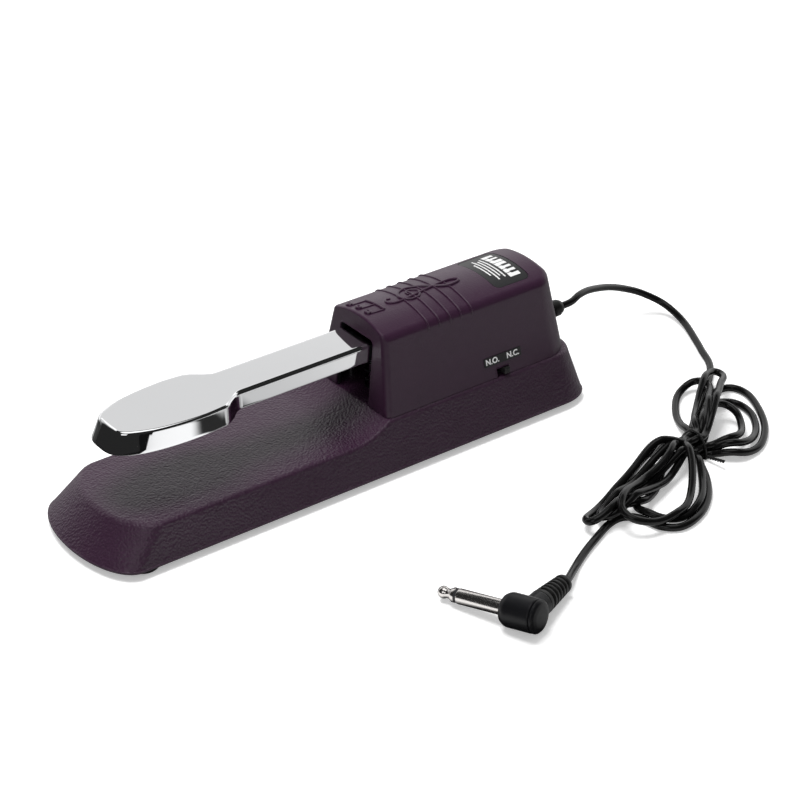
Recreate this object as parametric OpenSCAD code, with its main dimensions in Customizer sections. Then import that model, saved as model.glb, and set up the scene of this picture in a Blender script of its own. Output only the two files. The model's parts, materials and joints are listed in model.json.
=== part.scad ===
// Piano-style sustain pedal with its internal mechanism, lead and plug.
// +X is the player's right, +Y is the rear where the lead leaves, +Z is up.
// The origin is the centre of the base's footprint on the floor.

/* [Base] */
// Length of the base from toe to rear
base_l = 250; // [248:1:256]
// Width of the base at its bottom edge
base_w = 68.6; // [68:0.1:72]
// Height of the plateau under the pedal
plateau_h = 18.9; // [18.6:0.1:19.2]
// Height of the raised deck under the housing
deck_h = 24.4; // [24.2:0.1:24.6]
// Height of the rubber feet
foot_h = 3; // [2.6:0.1:3.2]
// Wall thickness of the plastic mouldings
wall = 2.2; // [1.8:0.1:2.4]

/* [Top cover] */
// Length of the housing at its bottom edge
cover_l = 103; // [102:0.5:104]
// Width of the housing at its bottom edge
cover_w = 52.5; // [52:0.1:53.5]
// Width of the housing where the arched top starts
cover_top_w = 37.8; // [37:0.1:39]
// Height of the crown above the floor
crown_h = 63; // [62.5:0.1:64]
// Radius of the arched top
crown_r = 47.2; // [45:0.1:50]

/* [Pedal lever] */
// Height of the lever's flat top above the floor
lever_top = 53.1; // [53.1:0.1:53.4]
// Width of the paddle
paddle_w = 34.4; // [32:0.1:36]
// Width of the neck
neck_w = 20; // [19.4:0.1:20]
// Thickness of the chromed sheet
sheet_t = 1.6; // [1.4:0.1:1.6]
// Angle the pedal turns through when fully pressed
pedal_travel = 6; // [5:0.5:6]

/* [Switches] */
// Distance between the polarity knob's two positions
knob_travel = 3; // [2.5:0.1:3]

/* [Lead and plug] */
// Diameter of the lead
cable_d = 3.3; // [2.8:0.1:3.3]
// Length of the plug from its shoulder to its tip
plug_l = 30.5; // [30:0.1:31.5]

/* [Hidden] */
// Diameter of a quarter-inch plug's sleeve, which is a standard size
plug_d = 6.35;
$fn = 48;
// Gap between pieces that slide or turn against each other
gap = 0.05;
// Overlap used only where two shapes of one solid are joined
weld = 0.5;

// ---- outlines -------------------------------------------------------------------------------
// An outline is [half width, front y, rear y, front corner x, front corner y, rear corner x,
// rear corner y]. A front corner nearly as wide as the half width makes a half-oval toe.
base_low = [base_w / 2, -base_l / 2, base_l / 2, base_w / 2 - 0.3, 15.3, 10.7, 15.6];
base_high = [base_w / 2 - 6.85, 18.1 - base_l / 2, base_l / 2 - 3.2, 25.4, 18.1, 13.6, 12.7];
cover_rear = base_l / 2 - 5.2;
cover_front = cover_rear - cover_l;
cover_low = [cover_w / 2, cover_front, cover_rear, 3, 3, 13.6, 15];
cover_high = [cover_top_w / 2, cover_front + 3.5, cover_rear - 6.6, 3, 3, 7.5, 8.5];
// Height where the arched top meets the flat sides
shoulder_h = 59.1;
crown_axis_z = crown_h - crown_r;
lip_h = 1.2;
corner_steps = 8;

function mix(a, b, t) = a + (b - a) * t;

// An outline moved inwards by d all round
function inset(o, d) = [
    o[0] - d, o[1] + d, o[2] - d,
    max(o[3] - d, 0.5), max(o[4] - d * 0.6, 0.5), max(o[5] - d, 0.5), max(o[6] - d, 0.5)
];

// A quarter ellipse of corner points, from angle a0 to a0 + 90
function corner(cx, cy, rx, ry, a0) = [
    for (i = [0 : corner_steps])
        let (a = a0 + 90 * i / corner_steps)
        [cx + rx * cos(a), cy + ry * sin(a)]
];

function outline_points(o) = concat(
    corner(o[0] - o[5], o[2] - o[6], o[5], o[6], 0),
    corner(-o[0] + o[5], o[2] - o[6], o[5], o[6], 90),
    corner(-o[0] + o[3], o[1] + o[4], o[3], o[4], 180),
    corner(o[0] - o[3], o[1] + o[4], o[3], o[4], 270)
);

// A flat plate of an outline with its lower face at height z
module slab(o, z, t)
    translate([0, 0, z])
    linear_extrude(t)
    polygon(outline_points(o));

// A closed form through outlines at rising heights, given as a list of [outline, height]
module loft(levels)
    polyhedron(
        [for (l = levels) for (p = outline_points(l[0])) [p.x, p.y, l[1]]],
        tube_faces(len(levels), 4 * (corner_steps + 1)),
        convexity = 4
    );

// A rectangle with rounded corners, centred on the origin
function rounded_rect(w, l, r, steps = 6) = [
    for (q = [0 : 3], i = [0 : steps])
        let (a = 90 * q + 90 * i / steps, sx = (q == 0 || q == 3) ? 1 : -1, sy = q < 2 ? 1 : -1)
        [sx * (w / 2 - r) + r * cos(a), sy * (l / 2 - r) + r * sin(a)]
];

module rounded_plate(w, l, r, t)
    linear_extrude(t)
    polygon(rounded_rect(w, l, r));

module copy_at(places)
    for (p = places)
        translate(p) children();

// A round bar or hole along X, centred on [x, y, z]
module bar_x(r, l)
    rotate([0, 90, 0]) cylinder(r = r, h = l, center = true);

// ---- fixings --------------------------------------------------------------------------------
// A pan-head screw whose head sits on z = 0 and whose shank hangs down
module pan_screw(r, l, head_r, head_h) {
    translate([0, 0, -l]) cylinder(r = r, h = l + head_h / 2);
    difference() {
        cylinder(r = head_r, h = head_h);
        cross_recess(head_r, head_h);
    }
}

// A countersunk screw whose flat head is level with z = 0
module flat_screw(r, l, head_r, head_h) {
    difference() {
        rotate_extrude() polygon([
            [0, 0], [head_r, 0], [head_r, -0.3], [r, -head_h], [r, -l], [0, -l]
        ]);
        cross_recess(head_r, 0);
    }
}

// The cross-shaped recess in the top of a screw head that is h high
module cross_recess(head_r, h)
    translate([0, 0, h])
    for (a = [0, 90])
        rotate([0, 0, a]) cube([head_r * 1.1, head_r * 0.28, 1.4], center = true);

screw_gap = 0.1;
bottom_screw_at = [[20, -84], [-20, -84], [20, 98], [-20, 98]];
cover_screw_at = [[16.5, 28], [-16.5, 28], [15.5, 106], [-15.5, 106]];
bottom_screw_r = 1.5;
cover_screw_r = 1.5;

// ---- base -----------------------------------------------------------------------------------
ramp_r = 39;
plate_t = 1.6;
plate_z = foot_h;
base_boss_r = 4;
cover_top_of_boss = 42;
pivot_y = 70;
pivot_z = 46;
spring_y = 30;
stop_y = 100;
ramp_y = -3;

// The base's form moved inwards by d, open to the floor: a full-length loft with everything
// above the plateau and the concave ramp taken away
module base_form(d, bottom, ramp_start)
    difference() {
        loft([
            [inset(base_low, d), bottom],
            [inset(base_low, d), foot_h + lip_h],
            [inset(base_high, d), deck_h - d]
        ]);
        translate([-base_w / 2, ramp_start - base_l, plateau_h - d]) cube([base_w, base_l, 10]);
        translate([0, ramp_start, plateau_h - d + ramp_r]) bar_x(ramp_r, base_w);
    }

module base() color("#3a2430") difference() {
    union() {
        difference() {
            base_form(0, foot_h, ramp_y);
            base_form(wall, foot_h - 1, ramp_y + 1);
        }
        for (p = bottom_screw_at) {
            boss_top = p.y > 0 ? deck_h : plateau_h;
            translate([p.x, p.y, plate_z + plate_t])
                cylinder(r = base_boss_r, h = boss_top - plate_z - plate_t - wall / 2);
        }
        for (p = bracket_screw_at)
            translate([p.x, p.y, deck_h - wall - 6]) cylinder(r = 3.2, h = 6 + wall / 2);
        for (p = switch_foot_at)
            translate([p.x, p.y, deck_h - wall - 4]) cylinder(r = 2.8, h = 4 + wall / 2);
        // Post inside the return spring, and the block under the arm's tail
        translate([0, spring_y, deck_h - wall / 2])
            cylinder(r = 3.2, h = down_stop_z - deck_h + wall / 2);
        translate([0, stop_y, deck_h - wall / 2])
            rounded_plate(17, 6, 1, up_stop_z - deck_h + wall / 2);
    }
    for (p = bottom_screw_at)
        translate([p.x, p.y, 0]) cylinder(r = bottom_screw_r + screw_gap, h = 15);
    for (p = bracket_screw_at)
        translate([p.x, p.y, deck_h - 8]) cylinder(r = 1.5 + screw_gap, h = 12);
    for (p = switch_foot_at)
        translate([p.x, p.y, deck_h - 6]) cylinder(r = 1.3 + screw_gap, h = 12);
    for (p = polarity_screw_at)
        translate([p.x, p.y, deck_h - 6]) cylinder(r = 1 + screw_gap, h = 12);
    for (p = cover_screw_at)
        translate([p.x, p.y, deck_h - 6]) cylinder(r = cover_screw_r + 0.2, h = 12);
    translate([0, spring_y, down_stop_z - 8]) cylinder(r = 1.5 + gap, h = 12);
}

module bottom_cover() color("#202020") difference() {
    slab(inset(base_low, wall + 0.4), plate_z, plate_t);
    for (p = bottom_screw_at)
        translate([p.x, p.y, plate_z - 1]) cylinder(r = bottom_screw_r + screw_gap, h = 4);
    for (p = bottom_screw_at)
        translate([p.x, p.y, plate_z]) {
            translate([0, 0, -1]) cylinder(r = 3.1, h = 1.35);
            translate([0, 0, 0.35]) cylinder(r1 = 3.1, r2 = bottom_screw_r + screw_gap, h = 1.1);
        }
    for (p = foot_at)
        translate([p.x, p.y, plate_z - 1]) cylinder(r = foot_peg_r + gap, h = 4);
}

module bottom_screws() color("#8c8c90")
    for (p = bottom_screw_at)
        translate([p.x, p.y, plate_z]) mirror([0, 0, 1]) flat_screw(bottom_screw_r, 11, 3, 1.4);

ballast_l = 150;
ballast_w = 50;
module ballast_plate() color("#55585c")
    translate([0, -5, plate_z + plate_t])
    difference() {
        rounded_plate(ballast_w, ballast_l, 5, 5);
        copy_at([for (x = [-1, 1]) [x * ballast_w / 2 - x * 5, -ballast_l / 2 - 4, -1]])
            cylinder(r = base_boss_r + 1, h = 8);
        copy_at([for (p = foot_at) [p.x, p.y + 5, -1]]) cylinder(r = foot_peg_r + 2, h = 3);
    }

foot_r = 7;
foot_peg_r = 2.4;
foot_at = [[25.5, -105], [-25.5, -105], [24, 106], [-24, 106], [0, 0]];
module rubber_feet() color("#151515")
    for (p = foot_at)
        translate([p.x, p.y, 0])
            rotate_extrude() polygon([
                [0, 0], [foot_r - 0.8, 0], [foot_r, 0.8], [foot_r, plate_z],
                [foot_peg_r, plate_z], [foot_peg_r, plate_z + 2.4], [0, plate_z + 2.4]
            ]);

// ---- housing --------------------------------------------------------------------------------
module cover_form(d, z0)
    intersection() {
        rise = (crown_h + 4 - deck_h) / (shoulder_h - deck_h);
        loft([
            [inset(cover_low, d), z0],
            [inset(mix(cover_low, cover_high, rise), d), crown_h + 4]
        ]);
        translate([0, cover_rear - cover_l / 2, crown_axis_z]) rotate([90, 0, 0])
            cylinder(r = crown_r - d, h = cover_l + 20, center = true, $fn = 180);
    }

// The part of the arched top between radius r0 and r1 that lies over a rounded rectangle
module crown_patch(y, w, l, corner_r, r0, r1)
    intersection() {
        translate([0, y, crown_h - 12]) rounded_plate(w, l, corner_r, 20);
        translate([0, y + l / 2 + 1, crown_axis_z]) rotate([90, 0, 0])
            difference() {
                cylinder(r = r1, h = l + 2, $fn = 180);
                translate([0, 0, -1]) cylinder(r = r0, h = l + 4, $fn = 180);
            }
    }

rib_pitch = 5.83;
rib_first_y = 43.5;
rib_count = 5;
mouth_w = 24;
mouth_top = 55.2;
mouth_corner = 2.5;
label_y = 93.6;
label_w = 29;
label_l = 19;
exit_z = 30;
relief_neck_r = 4;

module top_cover() color("#3a2430") difference() {
    union() {
        difference() {
            cover_form(0, deck_h);
            cover_form(wall, deck_h - 2);
        }
        for (p = cover_screw_at) {
            side = sign(p.x);
            translate([p.x, p.y, deck_h]) cylinder(r = 3.2, h = cover_top_of_boss - deck_h);
            translate([p.x + side * 3, p.y, (deck_h + cover_top_of_boss) / 2])
                cube([5, 2, cover_top_of_boss - deck_h], center = true);
        }
        for (i = [0 : rib_count - 1])
            crown_patch(
                rib_first_y + i * rib_pitch, cover_top_w - 2.5, 0.9, 0.4,
                crown_r - weld, crown_r + 0.45
            );
    }
    // Mouth for the lever
    translate([0, cover_front + 8, deck_h - 1])
        rotate([90, 0, 0]) linear_extrude(24, center = true)
        polygon(concat(
            [[-mouth_w / 2, -2], [mouth_w / 2, -2]],
            [for (i = [0 : 12])
                let (a = 15 * i, side = i <= 6 ? 1 : -1)
                [
                    side * (mouth_w / 2 - mouth_corner) + mouth_corner * cos(a),
                    mouth_top - deck_h + 1 - mouth_corner + mouth_corner * sin(a)
                ]]
        ));
    crown_patch(label_y, label_w + 0.4, label_l + 0.4, 3, crown_r - 0.4, crown_r + 2);
    translate([0, cover_rear, exit_z]) rotate([90, 0, 0])
        cylinder(r = relief_neck_r + gap, h = 16, center = true);
    for (p = cover_screw_at)
        translate([p.x, p.y, deck_h - 1]) cylinder(r = cover_screw_r + screw_gap, h = 13);
    // Slot for the polarity knob, open at the lower edge
    translate([cover_w / 2 - 4, knob_y - knob_travel - 0.4, deck_h - 1])
        cube([8, knob_w + knob_travel + 0.8, knob_top - deck_h + 1.4]);
}

module cover_screws() color("#8c8c90")
    for (p = cover_screw_at)
        translate([p.x, p.y, deck_h - wall]) mirror([0, 0, 1]) pan_screw(cover_screw_r, 11, 2.9, 1.8);

module top_label() color("#101012")
    crown_patch(label_y, label_w, label_l, 2.8, crown_r - 0.4, crown_r - 0.1);

side_angle = atan((cover_w - cover_top_w) / 2 / (shoulder_h - deck_h));
module switch_label() color("#101012")
    translate([cover_w / 2, 69.6, deck_h])
    rotate([0, -side_angle, 0])
    translate([0, 0, 6.4]) cube([0.35, 20.4, 4.1]);

// ---- lever ----------------------------------------------------------------------------------
paddle_bottom = 44;
neck_bottom = 45;
lever_rear = 58;
neck_front = -40;
shoulder_l = 18;
paddle_y = neck_front - shoulder_l;
toe_y = -105;
notch_y = neck_front - 10;

// Half width of the lever's plan at each y: a neck, an S-shaped shoulder and a blunt-ended paddle
function smooth(t) = t * t * (3 - 2 * t);
function lever_half(y) =
    y > neck_front ? neck_w / 2
    : y > paddle_y ? mix(neck_w / 2, paddle_w / 2, smooth((neck_front - y) / shoulder_l))
    : paddle_w / 2 * pow(max(0, 1 - pow((paddle_y - y) / (paddle_y - toe_y), 2)), 0.19);

lever_side = concat(
    [[neck_w / 2, lever_rear]],
    [for (i = [0 : 12]) let (y = neck_front - shoulder_l * i / 12) [lever_half(y), y]],
    [for (i = [1 : 14]) let (y = mix(paddle_y, toe_y, sin(90 * i / 14))) [lever_half(y), y]]
);
lever_outline = concat(
    lever_side,
    [for (i = [len(lever_side) - 2 : -1 : 0]) [-lever_side[i].x, lever_side[i].y]]
);

// The lever's outline shrunk towards the paddle's middle line by the sheet's thickness
lever_hollow = [
    for (p = lever_outline)
        let (s = p.x == 0 ? 0 : sign(p.x), k = max(0, (paddle_y - p.y) / (paddle_y - toe_y)))
        [p.x - s * sheet_t * (1 - 0.25 * k), p.y > 50 ? p.y + 5 : p.y + sheet_t * k]
];

module pedal_lever() color("#c8ccd0") difference() {
    translate([0, 0, paddle_bottom])
        linear_extrude(lever_top - paddle_bottom) polygon(lever_outline);
    translate([0, 0, paddle_bottom - 1])
        linear_extrude(lever_top - sheet_t - paddle_bottom + 1) polygon(lever_hollow);
    // The neck's flanges are shallower than the paddle's, with a rounded notch between
    translate([-20, notch_y, paddle_bottom - 1])
        cube([40, lever_rear - notch_y + 6, neck_bottom - paddle_bottom + 1]);
    translate([0, notch_y, paddle_bottom]) bar_x(neck_bottom - paddle_bottom, 40);
    for (y = lever_screw_y)
        translate([0, y, lever_top - 5]) cylinder(r = 2.1, h = 8);
}

// ---- rocker arm -----------------------------------------------------------------------------
arm_t = 1.8;
arm_half = 7.9;
arm_top = lever_top - sheet_t;
arm_under = arm_top - arm_t;
arm_bottom = 42;
arm_front = 22;
arm_rear = 104;
ear_r = 6.5;
bush_r = 4.2;
pin_r = 3;
bush_flange = 1;
lever_screw_y = [40, 55];
striker_y = 50;
striker_z = 38.2;

module rocker_arm() color("#9a9da2") difference() {
    union() {
        translate([0, (arm_front + arm_rear) / 2, arm_under])
            rounded_plate(2 * arm_half, arm_rear - arm_front, 1, arm_t);
        for (s = [-1, 1]) {
            translate([s * (arm_half - arm_t / 2), (arm_front + arm_rear) / 2, (arm_bottom + arm_top) / 2])
                cube([arm_t, arm_rear - arm_front - 2, arm_top - arm_bottom], center = true);
            translate([s * (arm_half - arm_t / 2), pivot_y, pivot_z]) bar_x(ear_r - 1, arm_t);
        }
        translate([-2.5, striker_y - 1, striker_z]) cube([5, 2, arm_top - striker_z - 0.2]);
    }
    translate([0, pivot_y, pivot_z]) bar_x(bush_r, 30);
    for (y = lever_screw_y)
        translate([0, y, arm_under - 1]) cylinder(r = 2.1, h = 4);
}

module lever_screws() color("#8c8c90")
    for (y = lever_screw_y)
        translate([0, y, lever_top]) pan_screw(2, 8.2, 3.6, 1.8);

module lever_nuts() color("#8c8c90")
    for (y = lever_screw_y)
        translate([0, y, arm_under - 2.4])
            difference() {
                cylinder(r = 3.4, h = 2.4, $fn = 6);
                translate([0, 0, -1]) cylinder(r = 2.02, h = 5, $fn = 32);
            }

// ---- pivot ----------------------------------------------------------------------------------
bracket_in = arm_half + bush_flange + 0.2;
bracket_t = 2;
bracket_out = bracket_in + bracket_t;
bracket_half_l = 9;
bracket_screw_at = [[5, 64.5], [-5, 64.5], [5, 75.5], [-5, 75.5]];
pin_half = bracket_out + 1.8;

module pivot_bracket() color("#a5a8ad") difference() {
    union() {
        translate([0, pivot_y, deck_h]) rounded_plate(2 * bracket_out, 2 * bracket_half_l, 1, bracket_t);
        for (s = [-1, 1]) {
            translate([s * (bracket_in + bracket_t / 2), pivot_y, deck_h])
                rotate([90, 0, 90]) linear_extrude(bracket_t, center = true)
                polygon([
                    [-bracket_half_l, 0], [bracket_half_l, 0],
                    [6, pivot_z - deck_h], [-6, pivot_z - deck_h]
                ]);
            translate([s * (bracket_in + bracket_t / 2), pivot_y, pivot_z]) bar_x(6, bracket_t);
        }
    }
    translate([0, pivot_y, pivot_z]) bar_x(pin_r, 40);
    for (p = bracket_screw_at)
        translate([p.x, p.y, deck_h - 1]) cylinder(r = 1.6, h = 5);
}

module bracket_screws() color("#8c8c90")
    for (p = bracket_screw_at)
        translate([p.x, p.y, deck_h + bracket_t]) pan_screw(1.5, 9, 2.8, 1.7);

module pivot_pin() color("#b8bbc0")
    translate([0, pivot_y, pivot_z]) bar_x(pin_r, 2 * pin_half);

module pivot_bushes() color("#e6e2d6")
    for (s = [-1, 1])
        translate([0, pivot_y, pivot_z]) difference() {
            union() {
                translate([s * (arm_half - arm_t / 2), 0, 0]) bar_x(bush_r, arm_t);
                translate([s * (arm_half + bush_flange / 2), 0, 0]) bar_x(bush_r + 1.3, bush_flange);
            }
            bar_x(pin_r + gap, 30);
        }

module retaining_clips() color("#8c8c90")
    for (s = [-1, 1])
        translate([s * (bracket_out + 0.5), pivot_y, pivot_z]) difference() {
            bar_x(pin_r + 2, 0.8);
            bar_x(pin_r, 3);
            translate([0, 0, -3.5]) cube([3, 3, 4], center = true);
        }

// ---- spring and stops -----------------------------------------------------------------------
spring_r = 5;
spring_wire_r = 0.6;
spring_turns = 7;
down_stop_z = 40;
down_stop_r = 3.6;
// The arm's underside reaches this height over the bumper's front edge when fully pressed
down_stop_top = pivot_z - (pivot_y - spring_y + down_stop_r) * sin(pedal_travel)
    + (arm_under - pivot_z) * cos(pedal_travel) - gap;
up_stop_z = 40;

// Rings of points round a path, for a tube with the given radius and number of sides
function ring_points(path, r, sides) = [
    for (i = [0 : len(path) - 1])
        let (
            before = path[max(i - 1, 0)],
            after = path[min(i + 1, len(path) - 1)],
            along = (after - before) / norm(after - before),
            flat = cross(along, [0, 0, 1]),
            side = flat / norm(flat),
            up = cross(side, along)
        )
        for (j = [0 : sides - 1])
            path[i] + r * (cos(360 * j / sides) * side + sin(360 * j / sides) * up)
];

function tube_faces(rings, sides) = concat(
    [[for (j = [0 : sides - 1]) j]],
    [[for (j = [sides - 1 : -1 : 0]) (rings - 1) * sides + j]],
    [for (i = [0 : rings - 2], j = [0 : sides - 1], k = [0, 1])
        let (
            a = i * sides + j, b = i * sides + (j + 1) % sides,
            c = a + sides, d = b + sides
        )
        k == 0 ? [a, c, b] : [b, c, d]]
);

module tube(path, r, sides)
    polyhedron(ring_points(path, r, sides), tube_faces(len(path), sides), convexity = 10);

// Height along the spring at turn t: the end turns lie flat against each other
function spring_height(t) =
    let (
        low = deck_h + spring_wire_r + gap,
        high = arm_under - spring_wire_r - gap,
        flat = 2.3 * spring_wire_r
    )
    t < 1 ? low + flat * t
    : t > spring_turns - 1 ? high - flat * (spring_turns - t)
    : mix(low + flat, high - flat, (t - 1) / (spring_turns - 2));

module return_spring() color("#b0b3b8")
    translate([0, spring_y, 0])
    tube([for (i = [0 : spring_turns * 16])
        [spring_r * cos(22.5 * i), spring_r * sin(22.5 * i), spring_height(i / 16)]], spring_wire_r, 6);

module down_stop() color("#1c1c1c")
    translate([0, spring_y, down_stop_z]) rotate_extrude() polygon([
        [0, -4], [1.5, -4], [1.5, 0], [down_stop_r, 0],
        [down_stop_r, down_stop_top - down_stop_z - 1],
        [down_stop_r - 1, down_stop_top - down_stop_z], [0, down_stop_top - down_stop_z]
    ]);

module up_stop() color("#1c1c1c")
    translate([0, stop_y, up_stop_z]) rounded_plate(18, 6.6, 1.2, arm_bottom - up_stop_z - gap);

// ---- snap switch ----------------------------------------------------------------------------
snap_y0 = 40.5;
snap_l = 20;
snap_w = 6.4;
snap_z0 = 25.6;
snap_top = 35;
// The button stands under the striker and is pushed into a blind bore of the switch
button_r = 1.5;
button_in = 3;
button_travel = 2.2;
button_top = striker_z - gap;
snap_screw_at = [[45.5, 29.2], [55.5, 29.2]];
switch_foot_at = [[8, 45], [8, 56]];
switch_plate_t = 1.2;

module microswitch_body() color("#242428") difference() {
    union() {
        translate([-snap_w / 2, snap_y0, snap_z0]) cube([snap_w, snap_l, snap_top - snap_z0]);
        translate([0, striker_y, snap_top - weld]) cylinder(r = button_r + 1.2, h = weld + 0.5);
    }
    for (p = snap_screw_at)
        translate([0, p[0], p[1]]) bar_x(1.25 + gap, 10);
    translate([0, striker_y, snap_top - button_in - button_travel - 0.3])
        cylinder(r = button_r + gap, h = button_in + button_travel + 3);
}

module microswitch_button() color("#d8b8b0")
    translate([0, striker_y, 0])
    rotate_extrude() polygon([
        [0, snap_top - button_in], [button_r, snap_top - button_in], [button_r, button_top - 0.3],
        [button_r - 0.3, button_top], [0, button_top]
    ]);

module switch_bracket() color("#a5a8ad") difference() {
    union() {
        translate([snap_w / 2, snap_y0, deck_h]) cube([8, snap_l, switch_plate_t]);
        translate([snap_w / 2, snap_y0, deck_h]) cube([switch_plate_t, snap_l, 8.4]);
    }
    for (p = snap_screw_at)
        translate([snap_w / 2, p[0], p[1]]) bar_x(1.3, 4);
    for (p = switch_foot_at)
        translate([p.x, p.y, deck_h - 1]) cylinder(r = 1.4, h = 4);
}

module switch_screws() color("#8c8c90") {
    for (p = switch_foot_at)
        translate([p.x, p.y, deck_h + switch_plate_t]) pan_screw(1.3, 6, 2.3, 1.4);
    for (p = snap_screw_at)
        translate([snap_w / 2 + switch_plate_t, p[0], p[1]]) rotate([0, 90, 0])
            pan_screw(1.25, 7, 2, 1.2);
}

// ---- polarity switch ------------------------------------------------------------------------
polarity_x = 22.3;
polarity_d = 6;
polarity_y0 = 71;
polarity_l = 16;
polarity_h = 5.6;
knob_w = 3;
knob_y = 79.4;
knob_z = deck_h + 0.9;
knob_top = 28;
knob_reach = 27.4;
polarity_screw_at = [[19.3, 69], [19.3, 89]];

module polarity_switch_body() color("#2a2a2e") difference() {
    union() {
        translate([polarity_x - polarity_d, polarity_y0, deck_h]) cube([polarity_d, polarity_l, polarity_h]);
        translate([polarity_x - polarity_d, polarity_y0 - 4, deck_h]) cube([polarity_d, polarity_l + 8, 1.2]);
    }
    translate([polarity_x - 2.2, knob_y - knob_travel - 0.3, knob_z - 0.1])
        cube([4, knob_w + knob_travel + 0.6, knob_top - knob_z + 0.2]);
    for (p = polarity_screw_at)
        translate([p.x, p.y, deck_h - 1]) cylinder(r = 1.1, h = 4);
}

module polarity_knob() color("#181818")
    translate([polarity_x - 2, knob_y, knob_z]) difference() {
        cube([knob_reach - polarity_x + 2, knob_w, knob_top - knob_z]);
        for (i = [1 : 2])
            translate([knob_reach - polarity_x + 2, i * knob_w / 3, -1]) cylinder(r = 0.3, h = 6, $fn = 16);
    }

module polarity_switch_screws() color("#8c8c90")
    for (p = polarity_screw_at)
        translate([p.x, p.y, deck_h + 1.2]) pan_screw(1, 5, 1.9, 1.2);

// ---- terminals and wires --------------------------------------------------------------------
snap_tab_y = [43.5, 50.5, 57.5];
slide_tab_y = [74.5, 79, 83.5];
tab_z = 28;

module solder_terminals() color("#c8a860") {
    for (y = snap_tab_y)
        translate([-snap_w / 2 - 2.5, y, tab_z]) cube([5, 2.4, 0.5], center = true);
    for (y = slide_tab_y)
        translate([polarity_x - polarity_d - 1.5, y, tab_z]) cube([3, 2, 0.5], center = true);
}

// A smooth curve through the points p, with n steps between each pair
function curve(p, n) = concat(
    [for (i = [0 : len(p) - 2], k = [0 : n - 1])
        let (
            t = k / n,
            a = p[max(i - 1, 0)], b = p[i], c = p[i + 1], d = p[min(i + 2, len(p) - 1)]
        )
        0.5 * (2 * b + (c - a) * t + (2 * a - 5 * b + 4 * c - d) * t * t
            + (3 * b - a - 3 * c + d) * t * t * t)],
    [p[len(p) - 1]]
);

wire_r = 0.55;
cable_start_y = 106.5;
module signal_wires() {
    snap_x = -snap_w / 2 - 5 - wire_r;
    slide_x = polarity_x - polarity_d - 3 - wire_r;
    core_y = cable_start_y - 0.9;
    // Common of the snap switch straight to the lead
    color("#202020") tube(curve([
        [snap_x, snap_tab_y[0], tab_z], [-14, 50, 26.5], [-15, 66, 26], [-15, 84, 26.5],
        [-12, 92, 28], [-10.8, 99, 29], [-8, 104.6, 30], [-3.5, 104.8, 30], [-0.7, core_y, exit_z]
    ], 5), wire_r, 6);
    // Both contacts of the snap switch to the slide switch, round the back of the bracket
    color("#b03030") tube(curve([
        [snap_x, snap_tab_y[1], tab_z], [-12.4, 58, 28.6], [-13.2, 70, 28.8], [-12, 82, 29],
        [0, 87, 28], [10, 84, 28.5], [slide_x, slide_tab_y[2], tab_z]
    ], 5), wire_r, 6);
    color("#d8d8d8") tube(curve([
        [snap_x, snap_tab_y[2], tab_z], [-12.2, 60, 31.5], [-12.9, 68, 32.2], [-12.8, 77, 32],
        [-8, 83, 32], [2, 84, 31.5], [10, 82.5, 31], [12.3, 78, 29.5], [slide_x, slide_tab_y[0], tab_z]
    ], 5), wire_r, 6);
    // Common of the slide switch to the lead
    color("#30b050") tube(curve([
        [slide_x, slide_tab_y[1], tab_z], [11.5, 86, 26], [11, 94, 27], [10.8, 100, 29],
        [8, 104.6, 30], [3.5, 104.8, 30], [0.7, core_y, exit_z]
    ], 5), wire_r, 6);
}

// ---- lead -----------------------------------------------------------------------------------
module strain_relief() color("#141414")
    translate([0, 0, exit_z]) rotate([-90, 0, 0])
    difference() {
        rotate_extrude() polygon([
            [0, 111], [5.4, 111], [5.4, 113.6], [relief_neck_r, 113.6],
            [relief_neck_r, cover_rear + 0.15], [4.7, cover_rear + 0.15], [4.7, 122],
            [4.1, 124], [3.6, 129], [2.8, 135.4], [2.3, 136], [0, 136]
        ]);
        translate([0, 0, 100]) cylinder(r = cable_d / 2 + gap, h = 50);
    }

// The hank is one long coil, pinched at its waist: each turn makes an upper and a lower lobe and
// lies one level above the turn before
waist = [97, 127];
level_h = 4;
floor_z = cable_d / 2 + 0.1;
level_z = floor_z + 1.4;
strand_gap = 4;

// Points round one lobe, out from the waist on the right of the line to its tip and back on the
// left. tip_z is the height its far end sinks to.
function lobe(root, tip, half, z, tip_z) =
    let (d = tip - root, n = norm(d), a = d / n, b = [a.y, -a.x])
    [for (p = [[0.3, 0.6], [0.62, 1], [0.88, 0.8], [1, 0], [0.88, -0.8], [0.62, -1], [0.3, -0.6]])
        let (q = root + a * n * p.x + b * half * p.y)
        [q.x, q.y, mix(z, tip_z, pow(p.x, 3))]];

function level(k) = level_z + k * level_h;
function strand(column, k, side) = [waist.x + column * strand_gap, waist.y + side * 4, level(k)];

lower_tips = [[135, 79], [122, 66], [112, 55]];
lower_half = [16, 12, 7.5];
upper_tips = [[91, 177], [88, 170], [57, 178]];
upper_half = [17, 15, 8];

// One whole turn of the hank. Only the lowest turn sinks to the floor away from the tie.
function turn(k) = let (tip_z = k == 0 ? floor_z : level(k)) concat(
    [strand(-1, k, 1), strand(-1, k, -1)],
    lobe([waist.x, waist.y - 5], lower_tips[k], lower_half[k], level(k), tip_z),
    [strand(1, k, -1), strand(1, k, 1)],
    lobe([waist.x, waist.y + 5], upper_tips[k], upper_half[k], level(k), tip_z)
);

plug_elbow = [153, -10, 8];
plug_heading = 20;
plug_tilt = 6.4;
boot_l = 30;
boot_heading = 22;
boot_tilt = 6;
boot_dir = [
    -sin(boot_heading) * cos(boot_tilt), cos(boot_heading) * cos(boot_tilt), -sin(boot_tilt)
];
boot_end = plug_elbow + boot_l * boot_dir;

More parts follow.
